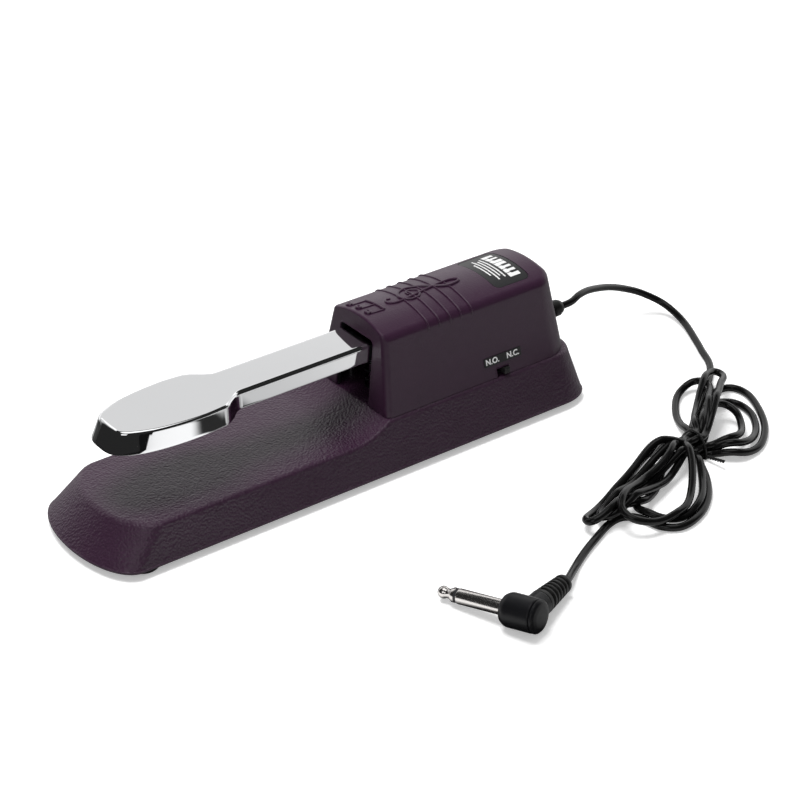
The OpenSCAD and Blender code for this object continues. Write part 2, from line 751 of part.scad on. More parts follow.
cable_points = concat(
    [for (y = [cable_start_y, 120, 130, 136.5, 139]) [0, y, exit_z]],
    [
        [-0.6, 145, exit_z + 0.6], [-2, 152, exit_z], [-8, 170, 22], [-13, 186, 14], [-10, 199, 7], [4, 206, 3.2],
        [22, 201, floor_z + 0.4], [38, 193, floor_z], [54, 172, floor_z], [68, 150, floor_z + 0.5],
        [82, 135, level_z]
    ],
    turn(0), turn(1), turn(2),
    [
        strand(0, 3, 1), strand(0, 3, -1), [100, 108, level(3)], [104, 88, level(3)],
        [107, 70, level(3)], [111, 57, level(3)], [116, 46, level(2)], [122, 39, level(1)],
        [129, 33, 3.6], boot_end + 5 * boot_dir, boot_end, boot_end - 6 * boot_dir
    ]
);

module cable() color("#121212") tube(curve(cable_points, 4), cable_d / 2, 8);

tie_w = 2 * strand_gap + cable_d + 1.6;
module cable_tie() color("#161616")
    translate([waist.x, waist.y, level_z + 1.5 * level_h]) rotate([90, 0, 0]) difference() {
        union() {
            translate([0, 0, -1]) rounded_plate(tie_w + 1.6, 3 * level_h + cable_d + 2.6, 2.5, 2);
            translate([tie_w / 2 + 4, 0, 0]) bar_x(1, 7);
        }
        translate([0, 0, -2]) rounded_plate(tie_w, 3 * level_h + cable_d + 1, 1.7, 4);
    }

// ---- plug -----------------------------------------------------------------------------------
body_r = 7;
body_front = 10.4;
cap_start = 4;
sleeve_r = plug_d / 2;
sleeve_l = 21;
ring_l = 1.2;
ball_r = 2.55;

// Places children with +Z running from the elbow out through the sleeve to the tip
module on_plug_axis()
    translate(plug_elbow)
    rotate([0, 0, 180 + plug_heading])
    rotate([0, 90 + plug_tilt, 0])
    children();

// Places children with +Z running from the elbow along the boot to the lead
module on_boot_axis()
    translate(plug_elbow)
    rotate([0, 0, 90 + boot_heading])
    rotate([0, 90 + boot_tilt, 0])
    children();

module plug_body() color("#161616") difference() {
    union() {
        on_plug_axis() rotate_extrude() polygon([
            [0, -cap_start], [body_r, -cap_start], [body_r, body_front - 3], [body_r - 1.6, body_front],
            [0, body_front]
        ]);
        on_boot_axis() cylinder(r = 5.2, h = 10);
    }
    on_plug_axis() {
        translate([0, 0, body_front - 6]) cylinder(r = 2.6, h = 10);
        // The cap closes this end
        translate([0, 0, -cap_start - 6]) cylinder(r = body_r + 2, h = 6);
    }
}

module plug_cap() color("#101010") on_plug_axis()
    rotate_extrude() polygon(concat(
        [[0, -cap_start], [0, -cap_start - 2.4]],
        [for (i = [1 : 5]) [(body_r - 0.2) * sin(18 * i), -cap_start - 1 - 1.4 * cos(18 * i)]],
        [[body_r - 0.2, -cap_start]]
    ));

module plug_boot() color("#141414") on_boot_axis() difference() {
    rotate_extrude() polygon(concat(
        [[0, 10], [5.2, 10], [5, 12]],
        [for (i = [0 : 5]) let (z = 13 + 2.65 * i, r = 4.9 - 0.22 * i)
            for (q = [[-0.9, 0], [0, 0.9], [0, 2], [-0.9, 2.3]]) [r + q.x, z + q.y]],
        [[3.2, boot_l - 0.6], [2.6, boot_l], [0, boot_l]]
    ));
    translate([0, 0, boot_l - 8]) cylinder(r = cable_d / 2 + gap, h = 12);
}

module plug_sleeve() color("#c0c2c6") on_plug_axis()
    translate([0, 0, body_front]) difference() {
        rotate_extrude() polygon([
            [0, -5], [2.55, -5], [2.55, 0], [sleeve_r, 0], [sleeve_r, sleeve_l - 0.4],
            [sleeve_r - 0.4, sleeve_l], [0, sleeve_l]
        ]);
        translate([0, 0, sleeve_l - 3]) cylinder(r = 1.8, h = 5);
    }

module plug_insulator() color("#0c0c0c") on_plug_axis()
    translate([0, 0, body_front + sleeve_l]) difference() {
        cylinder(r = sleeve_r - 0.25, h = ring_l);
        translate([0, 0, -1]) cylinder(r = 1.8, h = 4);
    }

module plug_tip() color("#c0c2c6") on_plug_axis()
    translate([0, 0, body_front + sleeve_l + ring_l])
    rotate_extrude() polygon(concat(
        [
            [0, -ring_l - 2.8], [1.75, -ring_l - 2.8], [1.75, 0], [sleeve_r - 0.15, 0],
            [sleeve_r - 0.15, 1.4], [1.9, 3.2]
        ],
        [for (i = [0 : 6])
            let (a = -35 + 20 * i)
            [ball_r * cos(a), plug_l - sleeve_l - ring_l - ball_r + ball_r * sin(a)]],
        [[0, plug_l - sleeve_l - ring_l]]
    ));

base();
bottom_cover();
ballast_plate();
rubber_feet();
bottom_screws();
top_cover();
cover_screws();
top_label();
switch_label();
pedal_lever();
rocker_arm();
lever_screws();
lever_nuts();
pivot_bracket();
bracket_screws();
pivot_pin();
pivot_bushes();
retaining_clips();
return_spring();
down_stop();
up_stop();
microswitch_body();
microswitch_button();
switch_bracket();
switch_screws();
polarity_switch_body();
polarity_knob();
polarity_switch_screws();
solder_terminals();
signal_wires();
strain_relief();
cable();
cable_tie();
plug_body();
plug_cap();
plug_boot();
plug_sleeve();
plug_insulator();
plug_tip();
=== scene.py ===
"""Sustain pedal: the looks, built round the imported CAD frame.

Shapes are worked out in millimetres in the row frame (+X right, +Y rear, +Z up) and turned into
metres when a mesh is made.
"""

import json
import math

import bmesh
import bpy
import numpy as np
from mathutils import Matrix, Vector


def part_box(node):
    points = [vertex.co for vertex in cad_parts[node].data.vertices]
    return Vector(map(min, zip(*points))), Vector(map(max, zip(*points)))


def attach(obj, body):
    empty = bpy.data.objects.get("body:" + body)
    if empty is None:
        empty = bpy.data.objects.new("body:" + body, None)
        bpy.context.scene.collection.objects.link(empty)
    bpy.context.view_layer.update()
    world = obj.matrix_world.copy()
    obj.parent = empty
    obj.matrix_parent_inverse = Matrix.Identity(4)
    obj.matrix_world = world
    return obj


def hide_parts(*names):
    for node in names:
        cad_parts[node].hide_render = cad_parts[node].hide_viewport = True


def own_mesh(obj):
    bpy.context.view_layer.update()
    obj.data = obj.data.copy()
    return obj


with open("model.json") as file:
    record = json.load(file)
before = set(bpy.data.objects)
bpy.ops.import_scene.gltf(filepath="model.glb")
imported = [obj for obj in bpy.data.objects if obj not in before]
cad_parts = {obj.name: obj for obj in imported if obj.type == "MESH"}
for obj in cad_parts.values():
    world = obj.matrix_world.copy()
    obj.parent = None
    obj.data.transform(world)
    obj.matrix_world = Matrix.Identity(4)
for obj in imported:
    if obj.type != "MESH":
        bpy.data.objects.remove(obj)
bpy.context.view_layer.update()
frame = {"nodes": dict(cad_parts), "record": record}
MM = 0.001
UNIT = "pedal_unit"


def box(node):
    """Lowest and highest corner of a CAD node, in mm."""
    lo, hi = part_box(node)
    return np.array(lo) / MM, np.array(hi) / MM


def vec(*v):
    return np.array(v, float)


def unit(v):
    v = np.asarray(v, float)
    return v / np.linalg.norm(v)


def mix(a, b, t):
    return a + (b - a) * t


# ---- materials ------------------------------------------------------------------------------
class Graph:
    """Short forms for wiring a node tree."""

    def __init__(self, tree):
        self.tree = tree

    def feed(self, socket, value):
        if isinstance(value, bpy.types.NodeSocket):
            self.tree.links.new(value, socket)
        else:
            socket.default_value = value

    def node(self, kind, **inputs):
        """A new node. Its inputs are named like its sockets, with underscores for spaces."""
        node = self.tree.nodes.new("ShaderNode" + kind)
        for name, value in inputs.items():
            self.feed(node.inputs[name.replace("_", " ")], value)
        return node

    def math(self, kind, a, b):
        node = self.node("Math")
        node.operation = kind
        for socket, value in zip(node.inputs, (a, b)):
            self.feed(socket, value)
        return node.outputs[0]

    def colours(self, a, b, factor, kind="MIX"):
        node = self.node("Mix")
        node.data_type, node.blend_type = "RGBA", kind
        for name, value in (("A", a), ("B", b), ("Factor", factor)):
            self.feed(node.inputs[name], value)
        return node.outputs["Result"]

    def steps(self, socket, stops):
        """A value that eases through (at, value) stops."""
        lo, hi = stops[0][0], stops[-1][0]
        spread = self.node("MapRange", From_Min=lo, From_Max=hi, Value=socket)
        node = self.node("ValToRGB", Fac=spread.outputs["Result"])
        node.color_ramp.interpolation = "EASE"
        elements = node.color_ramp.elements
        while len(elements) < len(stops):
            elements.new(0.5)
        for e, (at, value) in zip(elements, stops):
            e.position, e.color = (at - lo) / (hi - lo), (value, value, value, 1)
        return node.outputs["Color"]

    def blend(self, a, b, k):
        """a where k is 0 and b where it is 1."""
        return self.math("ADD", self.math("MULTIPLY", a, self.math("SUBTRACT", 1.0, k)),
                         self.math("MULTIPLY", b, k))


def look(name, colour, rough, metal=0.0, grain=0.0, depth=0.0, cells=False, vary=0.1,
         rough_vary=0.06, stretch=(1, 1, 1), specular=0.5, patch=12.0):
    """A procedural material. grain is the size in mm of its bumps and depth their height in mm; cells
    makes them pebbles instead of noise; vary and patch give the strength and size of its shading."""
    mat = bpy.data.materials.new(name)
    mat.use_nodes = True
    g = Graph(mat.node_tree)
    shader = g.tree.nodes["Principled BSDF"]
    place = g.node("Mapping", Vector=g.node("TexCoord").outputs["Object"],
                   Scale=[s / MM for s in stretch]).outputs["Vector"]

    def noise(size, detail):
        return g.node("TexNoise", Vector=place, Scale=1 / size, Detail=detail).outputs["Fac"]

    darker, lighter = [(*[min(1, c * k) for c in colour], 1) for k in (1 - vary, 1 + vary)]
    spread = g.node("MapRange", Value=noise(patch / 4, 5), To_Min=max(0.01, rough - rough_vary),
                    To_Max=rough + rough_vary)
    for socket, value in (("Base Color", g.colours(darker, lighter, noise(patch, 4))),
                          ("Roughness", spread.outputs["Result"]), ("Metallic", metal),
                          ("Specular IOR Level", specular)):
        g.feed(shader.inputs[socket], value)
    if grain:
        bump = g.node("Bump", Distance=depth * MM)
        if cells:
            pebbles = g.node("TexVoronoi", Vector=place, Scale=1 / grain)
            pebbles.feature = "SMOOTH_F1"
            pebbles.inputs["Smoothness"].default_value = 0.6
            g.feed(bump.inputs["Height"], pebbles.outputs["Distance"])
            bump.invert = True
        else:
            g.feed(bump.inputs["Height"], noise(grain, 3))
        g.feed(shader.inputs["Normal"], bump.outputs["Normal"])
    return mat


PLUM = (0.0305, 0.01, 0.0272)
looks = {
    "moulded_plastic": look("plum_grained", PLUM, 0.42, grain=1.0, depth=0.26, cells=True, vary=0.12,
                            specular=0.7),
    "plum_smooth": look("plum_fine", PLUM, 0.36, grain=0.8, depth=0.07, vary=0.1, specular=0.52),
    "bottom_plastic": look("black_bottom", (0.02, 0.02, 0.02), 0.55, grain=0.6, depth=0.05),
    "weight_steel": look("cast_weight", (0.16, 0.16, 0.17), 0.6, 0.8, grain=0.8, depth=0.08, vary=0.3),
    "rubber": look("foot_rubber", (0.012, 0.012, 0.012), 0.8, grain=0.3, depth=0.02, specular=0.3),
    "screw_steel": look("zinc_screw", (0.5, 0.5, 0.52), 0.32, 1, grain=0.2, depth=0.01, vary=0.15),
    "label_black": look("label_film", (0.008, 0.008, 0.009), 0.4, grain=0.5, depth=0.002, vary=0.2),
    "chrome": look("mirror_chrome", (0.86, 0.865, 0.875), 0.035, 1, vary=0.01, rough_vary=0.02, patch=18),
    "plain_steel": look("zinc_sheet", (0.52, 0.53, 0.55), 0.36, 1, grain=0.3, depth=0.01, vary=0.15,
                        stretch=(1, 0.12, 1)),
    "pin_steel": look("ground_pin", (0.6, 0.61, 0.63), 0.22, 1, grain=0.1, depth=0.004,
                      stretch=(1, 0.2, 0.2)),
    "bush_plastic": look("acetal", (0.74, 0.71, 0.63), 0.4, grain=0.4, depth=0.01),
    "spring_steel": look("spring_wire", (0.03, 0.03, 0.032), 0.4, 0.9, grain=0.15, depth=0.008),
    "switch_plastic": look("switch_case", (0.018, 0.018, 0.02), 0.5, grain=0.3, depth=0.02),
    "contact_brass": look("tinned_brass", (0.7, 0.56, 0.3), 0.3, 1, grain=0.2, depth=0.01, vary=0.2),
    "button_plastic": look("button", (0.6, 0.28, 0.22), 0.4, grain=0.3, depth=0.01),
    "knob_plastic": look("knob", (0.012, 0.012, 0.012), 0.5, grain=0.25, depth=0.02),
    "wire_insulation": look("insulation", (0.3, 0.04, 0.04), 0.35, grain=0.3, depth=0.01),
    "cable_vinyl": look("cable_vinyl", (0.004, 0.004, 0.004), 0.2, grain=0.6, depth=0.0015,
                        vary=0.15, rough_vary=0.03, patch=9, specular=0.33),
    "boot_vinyl": look("boot_vinyl", (0.005, 0.005, 0.005), 0.42, grain=0.4, depth=0.008, vary=0.2,
                       specular=0.4),
    "tie_plastic": look("tie_plastic", (0.01, 0.01, 0.01), 0.35, grain=0.3, depth=0.01),
    "plug_plastic": look("plug_shell", (0.006, 0.006, 0.007), 0.36, grain=0.4, depth=0.008,
                         vary=0.2, patch=5, specular=0.25),
    "nickel": look("nickel_plate", (0.8, 0.77, 0.75), 0.2, 1, grain=0.12, depth=0.003, vary=0.05),
    "print_white": look("print_white", (0.75, 0.75, 0.75), 0.5, grain=0.2, depth=0.004, vary=0.04),
}


# ---- mesh building --------------------------------------------------------------------------
class Solid:
    """Collects points and faces of one piece."""

    def __init__(self):
        self.points, self.faces = [], []

    def add(self, points, faces):
        start = len(self.points)
        self.points.extend([tuple(p) for p in np.asarray(points, float)])
        self.faces.extend([tuple(start + i for i in f) for f in faces])
        return self

    def strips(self, rings, closed=True, caps=(False, False)):
        """Quads between rings of equally many points, with optional flat caps."""
        rings = [np.asarray(r, float) for r in rings]
        n = len(rings[0])
        faces = []
        for k in range(len(rings) - 1):
            for i in range(n if closed else n - 1):
                j = (i + 1) % n
                faces.append((k * n + i, k * n + j, (k + 1) * n + j, (k + 1) * n + i))
        if caps[0]:
            faces.append(tuple(reversed(range(n))))
        if caps[1]:
            faces.append(tuple(range((len(rings) - 1) * n, len(rings) * n)))
        return self.add(np.vstack(rings), faces)

    def grid(self, points):
        """Quads over an array of rows of points."""
        rows, cols = points.shape[:2]
        faces = [(r * cols + c, r * cols + c + 1, (r + 1) * cols + c + 1, (r + 1) * cols + c)
                 for r in range(rows - 1) for c in range(cols - 1)]
        return self.add(points.reshape(-1, 3), faces)

    def mesh(self, name, crease=32):
        mesh = bpy.data.meshes.new(name)
        mesh.from_pydata([Vector(p) * MM for p in self.points], [], self.faces)
        bm = bmesh.new()
        bm.from_mesh(mesh)
        bmesh.ops.remove_doubles(bm, verts=bm.verts, dist=0.003 * MM)
        bmesh.ops.recalc_face_normals(bm, faces=bm.faces)
        bm.to_mesh(mesh)
        bm.free()
        smooth(mesh, crease)
        return mesh


def smooth(mesh, crease):
    mesh.shade_smooth()
    mesh.set_sharp_from_angle(angle=math.radians(crease))


def new_object(name, mesh):
    obj = bpy.data.objects.new(name, mesh)
    bpy.context.scene.collection.objects.link(obj)
    return obj


def baked(obj):
    """Applies obj's modifiers to its mesh."""
    bpy.context.view_layer.update()
    graph = bpy.context.evaluated_depsgraph_get()
    mesh = bpy.data.meshes.new_from_object(obj.evaluated_get(graph))
    obj.modifiers.clear()
    obj.data = mesh


def finish(obj, body, finish_slot, replaces=(), material=None, even=False):
    """Gives a piece its material, its body and the CAD nodes it stands for."""
    obj.data.materials.clear()
    obj.data.materials.append(looks[material or finish_slot])
    if even:
        weights = obj.modifiers.new("even_normals", "WEIGHTED_NORMAL")
        weights.keep_sharp = True
        weights.weight = 100
    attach(obj, body)
    if replaces:
        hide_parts(*replaces)
    return obj


def piece(name, solid, finish_slot, replaces=(), material=None, body=UNIT, crease=32, even=False):
    """A finished piece from a solid; edges sharper than crease degrees stay sharp."""
    return finish(new_object(name, solid.mesh(name, crease)), body, finish_slot, replaces, material, even)


def lathe(profile, origin=(0, 0, 0), axis=(0, 0, 1), seg=64):
    """Rings of a turned form. profile is (radius, distance along the axis) from one end to the other."""
    axis = unit(axis)
    side = unit(np.cross(axis, (0, 0, 1) if abs(axis[2]) < 0.9 else (0, 1, 0)))
    up = np.cross(axis, side)
    turn = np.linspace(0, 2 * np.pi, seg, endpoint=False)
    circle = np.outer(np.cos(turn), side) + np.outer(np.sin(turn), up)
    return [vec(*origin) + circle * max(r, 0.002) + axis * z for r, z in profile]


def rounded(profile, radius=0.3, steps=3):
    """A profile with each inner corner rounded."""
    p = [vec(*q) for q in profile]
    out = [p[0]]
    for a, b, c in zip(p, p[1:], p[2:]):
        la, lc = np.linalg.norm(a - b), np.linalg.norm(c - b)
        r = min(radius, la * 0.45, lc * 0.45)
        s, e = b + (a - b) * r / max(la, 1e-9), b + (c - b) * r / max(lc, 1e-9)
        for t in np.linspace(0, 1, steps + 1):
            out.append((1 - t) ** 2 * s + 2 * t * (1 - t) * b + t * t * e)
    return out + [p[-1]]


def spline(points, step):
    """Catmull-Rom curve through the points, resampled to an even step."""
    p = np.asarray(points, float)
    p = np.vstack([2 * p[0] - p[1], p, 2 * p[-1] - p[-2]])
    out = []
    for a, b, c, d in zip(p, p[1:], p[2:], p[3:]):
        for t in np.linspace(0, 1, 24, endpoint=False):
            out.append(0.5 * (2 * b + (c - a) * t + (2 * a - 5 * b + 4 * c - d) * t ** 2
                              + (3 * b - a - 3 * c + d) * t ** 3))
    return resample(np.vstack([out, p[-2]]), step)


def resample(curve, step):
    """The same curve with its points an even step apart."""
    run = np.r_[0, np.cumsum(np.linalg.norm(np.diff(curve, axis=0), axis=1))]
    at = np.linspace(0, run[-1], max(3, int(round(run[-1] / step)) + 1))
    return np.column_stack([np.interp(at, run, curve[:, i]) for i in range(3)])


def tube_rings(path, radius, seg=16):
    """Rings round a path, carried along it without twist. radius may be one number or one per point."""
    path = np.asarray(path, float)
    tangent = np.gradient(path, axis=0)
    tangent /= np.linalg.norm(tangent, axis=1)[:, None]
    side = unit(np.cross(tangent[0], (0, 0, 1) if abs(tangent[0][2]) < 0.9 else (0, 1, 0)))
    turn = np.linspace(0, 2 * np.pi, seg, endpoint=False)
    radius = np.broadcast_to(radius, len(path))
    rings = []
    for p, t, r in zip(path, tangent, radius):
        side = unit(side - t * (side @ t))
        up = np.cross(t, side)
        rings.append(p + r * (np.outer(np.cos(turn), side) + np.outer(np.sin(turn), up)))
    return rings


def tube(solid, path, radius, seg=16):
    return solid.strips(tube_rings(path, radius, seg), caps=(True, True))


# ---- outlines -------------------------------------------------------------------------------
class Outline:
    """Closed plan rings made of straights and elliptical corners. A shape is [half width, front y,
    rear y, front corner x, front corner y, rear corner x, rear corner y], as in the CAD source."""

    def __init__(self, front, corner, sides, rear_corner, rear):
        self.front, self.corner, self.sides = front, corner, np.asarray(sides)
        self.rear_corner, self.rear = rear_corner, rear
        self.half = front + corner + len(self.sides) + rear_corner + rear
        self.a = front + corner // 2
        self.b = self.half - rear - rear_corner // 2
        assert self.a == self.half - self.b

    def ring(self, o):
        hw, y0, y1, fx, fy, rx, ry = o
        out = [(x, y0) for x in np.linspace(0, hw - fx, self.front, endpoint=False)]
        for a in np.linspace(-np.pi / 2, 0, self.corner, endpoint=False):
            out.append((hw - fx + fx * np.cos(a), y0 + fy + fy * np.sin(a)))
        for t in self.sides:
            out.append((hw, mix(y0 + fy, y1 - ry, t)))
        for a in np.linspace(0, np.pi / 2, self.rear_corner, endpoint=False):
            out.append((hw - rx + rx * np.cos(a), y1 - ry + ry * np.sin(a)))
        out += [(x, y1) for x in np.linspace(hw - rx, 0, self.rear + 1)]
        right = np.array(out)
        return np.vstack([right, right[-2:0:-1] * (-1, 1)])

    def fill(self, ring):
        return coons(ring, self.a, self.b)


BOX_PLAN = Outline(2, 8, [0.0, 0.5], 8, 2)


def coons(ring, a, b):
    """A grid of plan points inside a ring that starts at the front centre, with its corners at
    a and b on the right and mirrored on the left."""
    n = len(ring)
    front = np.vstack([ring[n - a:], ring[:a + 1]])
    rear = ring[b:n - b + 1][::-1]
    right = ring[a:b + 1]
    left = ring[n - b:n - a + 1][::-1]
    s = np.linspace(0, 1, len(front))[None, :, None]
    run = np.r_[0, np.cumsum(np.linalg.norm(np.diff(right, axis=0), axis=1))]
    t = (run / run[-1])[:, None, None]
    grid = ((1 - t) * front[None] + t * rear[None] + (1 - s) * left[:, None] + s * right[:, None]
            - (1 - t) * (1 - s) * front[0] - (1 - t) * s * front[-1]
            - t * (1 - s) * rear[0] - t * s * rear[-1])
    grid[0], grid[-1], grid[:, 0], grid[:, -1] = front, rear, left, right
    return grid


def outward(ring):
    """Plan normals of a ring that runs anticlockwise seen from above."""
    d = np.roll(ring, -1, 0) - np.roll(ring, 1, 0)
    d /= np.linalg.norm(d, axis=1)[:, None]
    return np.column_stack([d[:, 1], -d[:, 0]])


def lift(plan, z):
    """Plan points raised to a height, or to one height each."""
    return np.column_stack([plan, np.broadcast_to(z, len(plan))])


def curve_between(start, corner, end, steps):
    """Rings that round the edge between two faces, as a circle's arc where they meet squarely."""
    arc_weight = 0.7071
    out = []
    for t in np.linspace(0, 1, steps + 1):
        a, b, c = (1 - t) ** 2, 2 * t * (1 - t) * arc_weight, t * t
        out.append((a * start + b * corner + c * end) / (a + b + c))
    return out


# ---- base -----------------------------------------------------------------------------------
cover_lo, cover_hi = box("top_cover")
base_lo, base_hi = box("base")
deck_z = cover_lo[2]
plateau_z = deck_z - 5.5
lip_z = base_lo[2] + 1.2
ramp_y, ramp_r = -3.0, 39.0
wall = 2.2
base_low = vec(base_hi[0], base_lo[1], base_hi[1], base_hi[0] - 0.3, 15.3, 10.7, 15.6)
base_high = vec(base_hi[0] - 6.85, base_lo[1] + 18.1, base_hi[1] - 3.2, 25.4, 18.1, 13.6, 12.7)


def base_top(y):
    """Height of the base's top: plateau, hollow ramp and deck, with the ramp's upper edge eased."""
    y = np.asarray(y, float)
    over = np.clip(y - ramp_y, 0, ramp_r * 0.7)
    ramp = plateau_z + ramp_r - np.sqrt(ramp_r ** 2 - over ** 2)
    ease = 0.35
    return 0.5 * (ramp + deck_z - np.sqrt((ramp - deck_z) ** 2 + ease ** 2))


def base_solid():
    sides = np.r_[np.linspace(0, 0.40, 12), np.linspace(0.425, 0.52, 18),
                  np.linspace(0.524, 0.555, 16), np.linspace(0.57, 0.97, 16)]
    plan = Outline(1, 44, sides, 20, 13)
    low, high = plan.ring(base_low), plan.ring(base_high)

    def at(z, inset):
        k = ((z - lip_z) / (deck_z - lip_z))[:, None]
        ring = mix(low, high, k)
        return lift(ring - outward(ring) * inset, z)

    def rim(inset, drop):
        z = np.full(len(low), plateau_z)
        for _ in range(12):
            z = base_top(at(z, inset)[:, 1]) - drop
        return at(z, inset)

    step, edge = 0.4, 1.3
    flat = np.zeros(len(low))
    rings = [at(flat + base_lo[2] + 1.6, wall + step)]
    rings += [lift(low - outward(low) * d, base_lo[2]) for d in (wall - 0.4, 0.5)]
    lip = [lift(low - outward(low) * d, z) for d, z in
           [(0.15, base_lo[2] + 0.12), (0, base_lo[2] + 0.45), (0, lip_z - 0.35), (0.12, lip_z - 0.08),
            (step + 0.05, lip_z + 0.1)]]
    top = rim(step, 0)
    shoulder = at(top[:, 2] - edge, step)
    inner = top.copy()
    inner[:, :2] -= outward(top[:, :2]) * edge
    inner[:, 2] = base_top(inner[:, 1])
    side = [at(mix(flat + lip_z + 0.3, shoulder[:, 2], t), step) for t in np.linspace(0, 1, 7)]
    solid = Solid()
    solid.strips(rings + lip + side + curve_between(shoulder, top, inner, 6)[1:])
    grid = plan.fill(inner[:, :2])
    solid.grid(np.dstack([grid, base_top(grid[:, :, 1])]))
    under = rim(wall + step, wall)
    solid.strips([rings[0], under])
    grid = plan.fill(under[:, :2])
    solid.grid(np.dstack([grid, base_top(grid[:, :, 1]) - wall])[:, ::-1])
    return solid


def block(solid, lo, hi, r=0.4):
    """A box with rounded upright edges and eased ends."""
    lo, hi = vec(*lo), vec(*hi)
    half, centre = (hi - lo) / 2, (lo + hi) / 2
    ring = BOX_PLAN.ring([half[0], -half[1], half[1], r, r, r, r]) + centre[:2]
    c = min(r, 0.25)
    cut = ring - outward(ring) * c
    solid.strips([lift(cut, lo[2]), lift(ring, lo[2] + c), lift(ring, hi[2] - c), lift(cut, hi[2])],
                 caps=(True, True))
    return solid


spring_lo, spring_hi = box("return_spring")
stop_z = box("up_stop")[0][2]
spring_y = 30
base = base_solid()
root_z = deck_z - 1.2
post = [(0, root_z), (3.2, root_z), (3.2, 39.6), (2.9, 40), (1.55, 40), (1.55, 35), (0, 35)]
base.strips(lathe(post, (0, spring_y, 0), seg=40))
block(base, (-8.5, 97, root_z), (8.5, 103, stop_z), 1)
for x, y, top in [(20, -84, plateau_z), (-20, -84, plateau_z), (20, 98, deck_z), (-20, 98, deck_z)]:
    base.strips(lathe([(1.6, 4.6), (4, 4.6), (4, top - 1.1)], (x, y, 0), seg=32))
piece("base_moulding", base, "moulded_plastic", ["base"], even=True)

# ---- housing --------------------------------------------------------------------------------
crown_r = 47.2
crown_axis = cover_hi[2] - 0.45 - crown_r
shoulder_z = cover_hi[2] - 0.45 - 3.9
cover_low = vec(cover_hi[0], cover_lo[1], cover_hi[1], 3, 3, 13.6, 15)
cover_high = vec(18.9, cover_lo[1] + 3.5, cover_hi[1] - 6.6, 3, 3, 7.5, 8.5)
side_lean = math.atan2(cover_low[0] - cover_high[0], shoulder_z - deck_z)


def crown(x):
    return crown_axis + np.sqrt(crown_r ** 2 - np.minimum(np.asarray(x, float) ** 2, crown_r ** 2 * 0.9))


cover_plan = Outline(16, 12, np.linspace(0, 0.975, 40), 20, 12)
cover_rings = cover_plan.ring(cover_low), cover_plan.ring(cover_high)


def cover_at(z, inset):
    k = ((z - deck_z) / (shoulder_z - deck_z))[:, None]
    ring = mix(cover_rings[0], cover_rings[1], k)
    return lift(ring - outward(ring) * np.asarray(inset).reshape(-1, 1), z)


def cover_rim(inset, drop):
    z = np.full(len(cover_rings[0]), shoulder_z)
    for _ in range(12):
        z = crown(cover_at(z, inset)[:, 0]) - drop
    return cover_at(z, inset)


def cover_solid():
    solid = Solid()
    top = cover_rim(0, 0)
    n = outward(top[:, :2])
    front, rear = np.clip(-n[:, 1], 0, 1) ** 2, np.clip(n[:, 1], 0, 1) ** 2
    edge = 2.4 * n[:, 0] ** 2 + 0.9 * front + 2.2 * rear
    shoulder = cover_at(top[:, 2] - edge, 0)
    inner = top.copy()
    inner[:, :2] -= n * edge[:, None]
    inner[:, 2] = crown(inner[:, 0])
    flat = np.zeros(len(top))
    foot = [cover_at(flat + deck_z, wall), cover_at(flat + deck_z, 0.35), cover_at(flat + deck_z + 0.15, 0.1)]
    side = [cover_at(mix(flat + deck_z + 0.4, shoulder[:, 2], t), 0) for t in np.linspace(0, 1, 12)]
    solid.strips(foot + side + curve_between(shoulder, top, inner, 7)[1:])
    grid = cover_plan.fill(inner[:, :2])
    solid.grid(np.dstack([grid, crown(grid[:, :, 0])]))
    under = cover_rim(wall, wall)
    solid.strips([foot[0], cover_at(mix(foot[0][:, 2], under[:, 2], 0.5), wall), under])
    grid = cover_plan.fill(under[:, :2])
    solid.grid(np.dstack([grid, crown(grid[:, :, 0]) - wall])[:, ::-1])
    return solid


def crown_pad(solid, x0, x1, y0, y1, r, low, high, ease=0.0, cols=16):
    """Adds a closed plate that follows the crown, between two heights over it."""
    half = vec((x1 - x0) / 2, (y1 - y0) / 2)
    plan = Outline(cols // 2, 12, np.linspace(0, 0.9, 8), 12, cols // 2)
    ring = plan.ring([half[0], -half[1], half[1], r, r, r, r])
    middle = vec((x0 + x1) / 2, (y0 + y1) / 2)

    def level(inset, h):
        p = ring - outward(ring) * inset + middle
        return lift(p, crown(p[:, 0]) + h)

    def cap(inset, h):
        g = plan.fill(ring - outward(ring) * inset) + middle
        return np.dstack([g, crown(g[:, :, 0]) + h])

    solid.strips([level(0, low), level(0, high - ease), level(ease, high)])
    solid.grid(cap(ease, high))
    return solid.grid(cap(0, low)[:, ::-1])


mouth_half, mouth_top, mouth_r = 12.0, 55.2, 2.5


def mouth_profile(grow=0.0):
    """Right to left round the top of the mouth, in x and z."""
    right = [(mouth_half - mouth_r + (mouth_r + grow) * np.cos(a),
              mouth_top - mouth_r + (mouth_r + grow) * np.sin(a)) for a in np.linspace(0, np.pi / 2, 9)]
    left = [(-x, z) for x, z in reversed(right)]
    return np.array([(mouth_half + grow, deck_z - 2)] + right + left + [(-mouth_half - grow, deck_z - 2)])


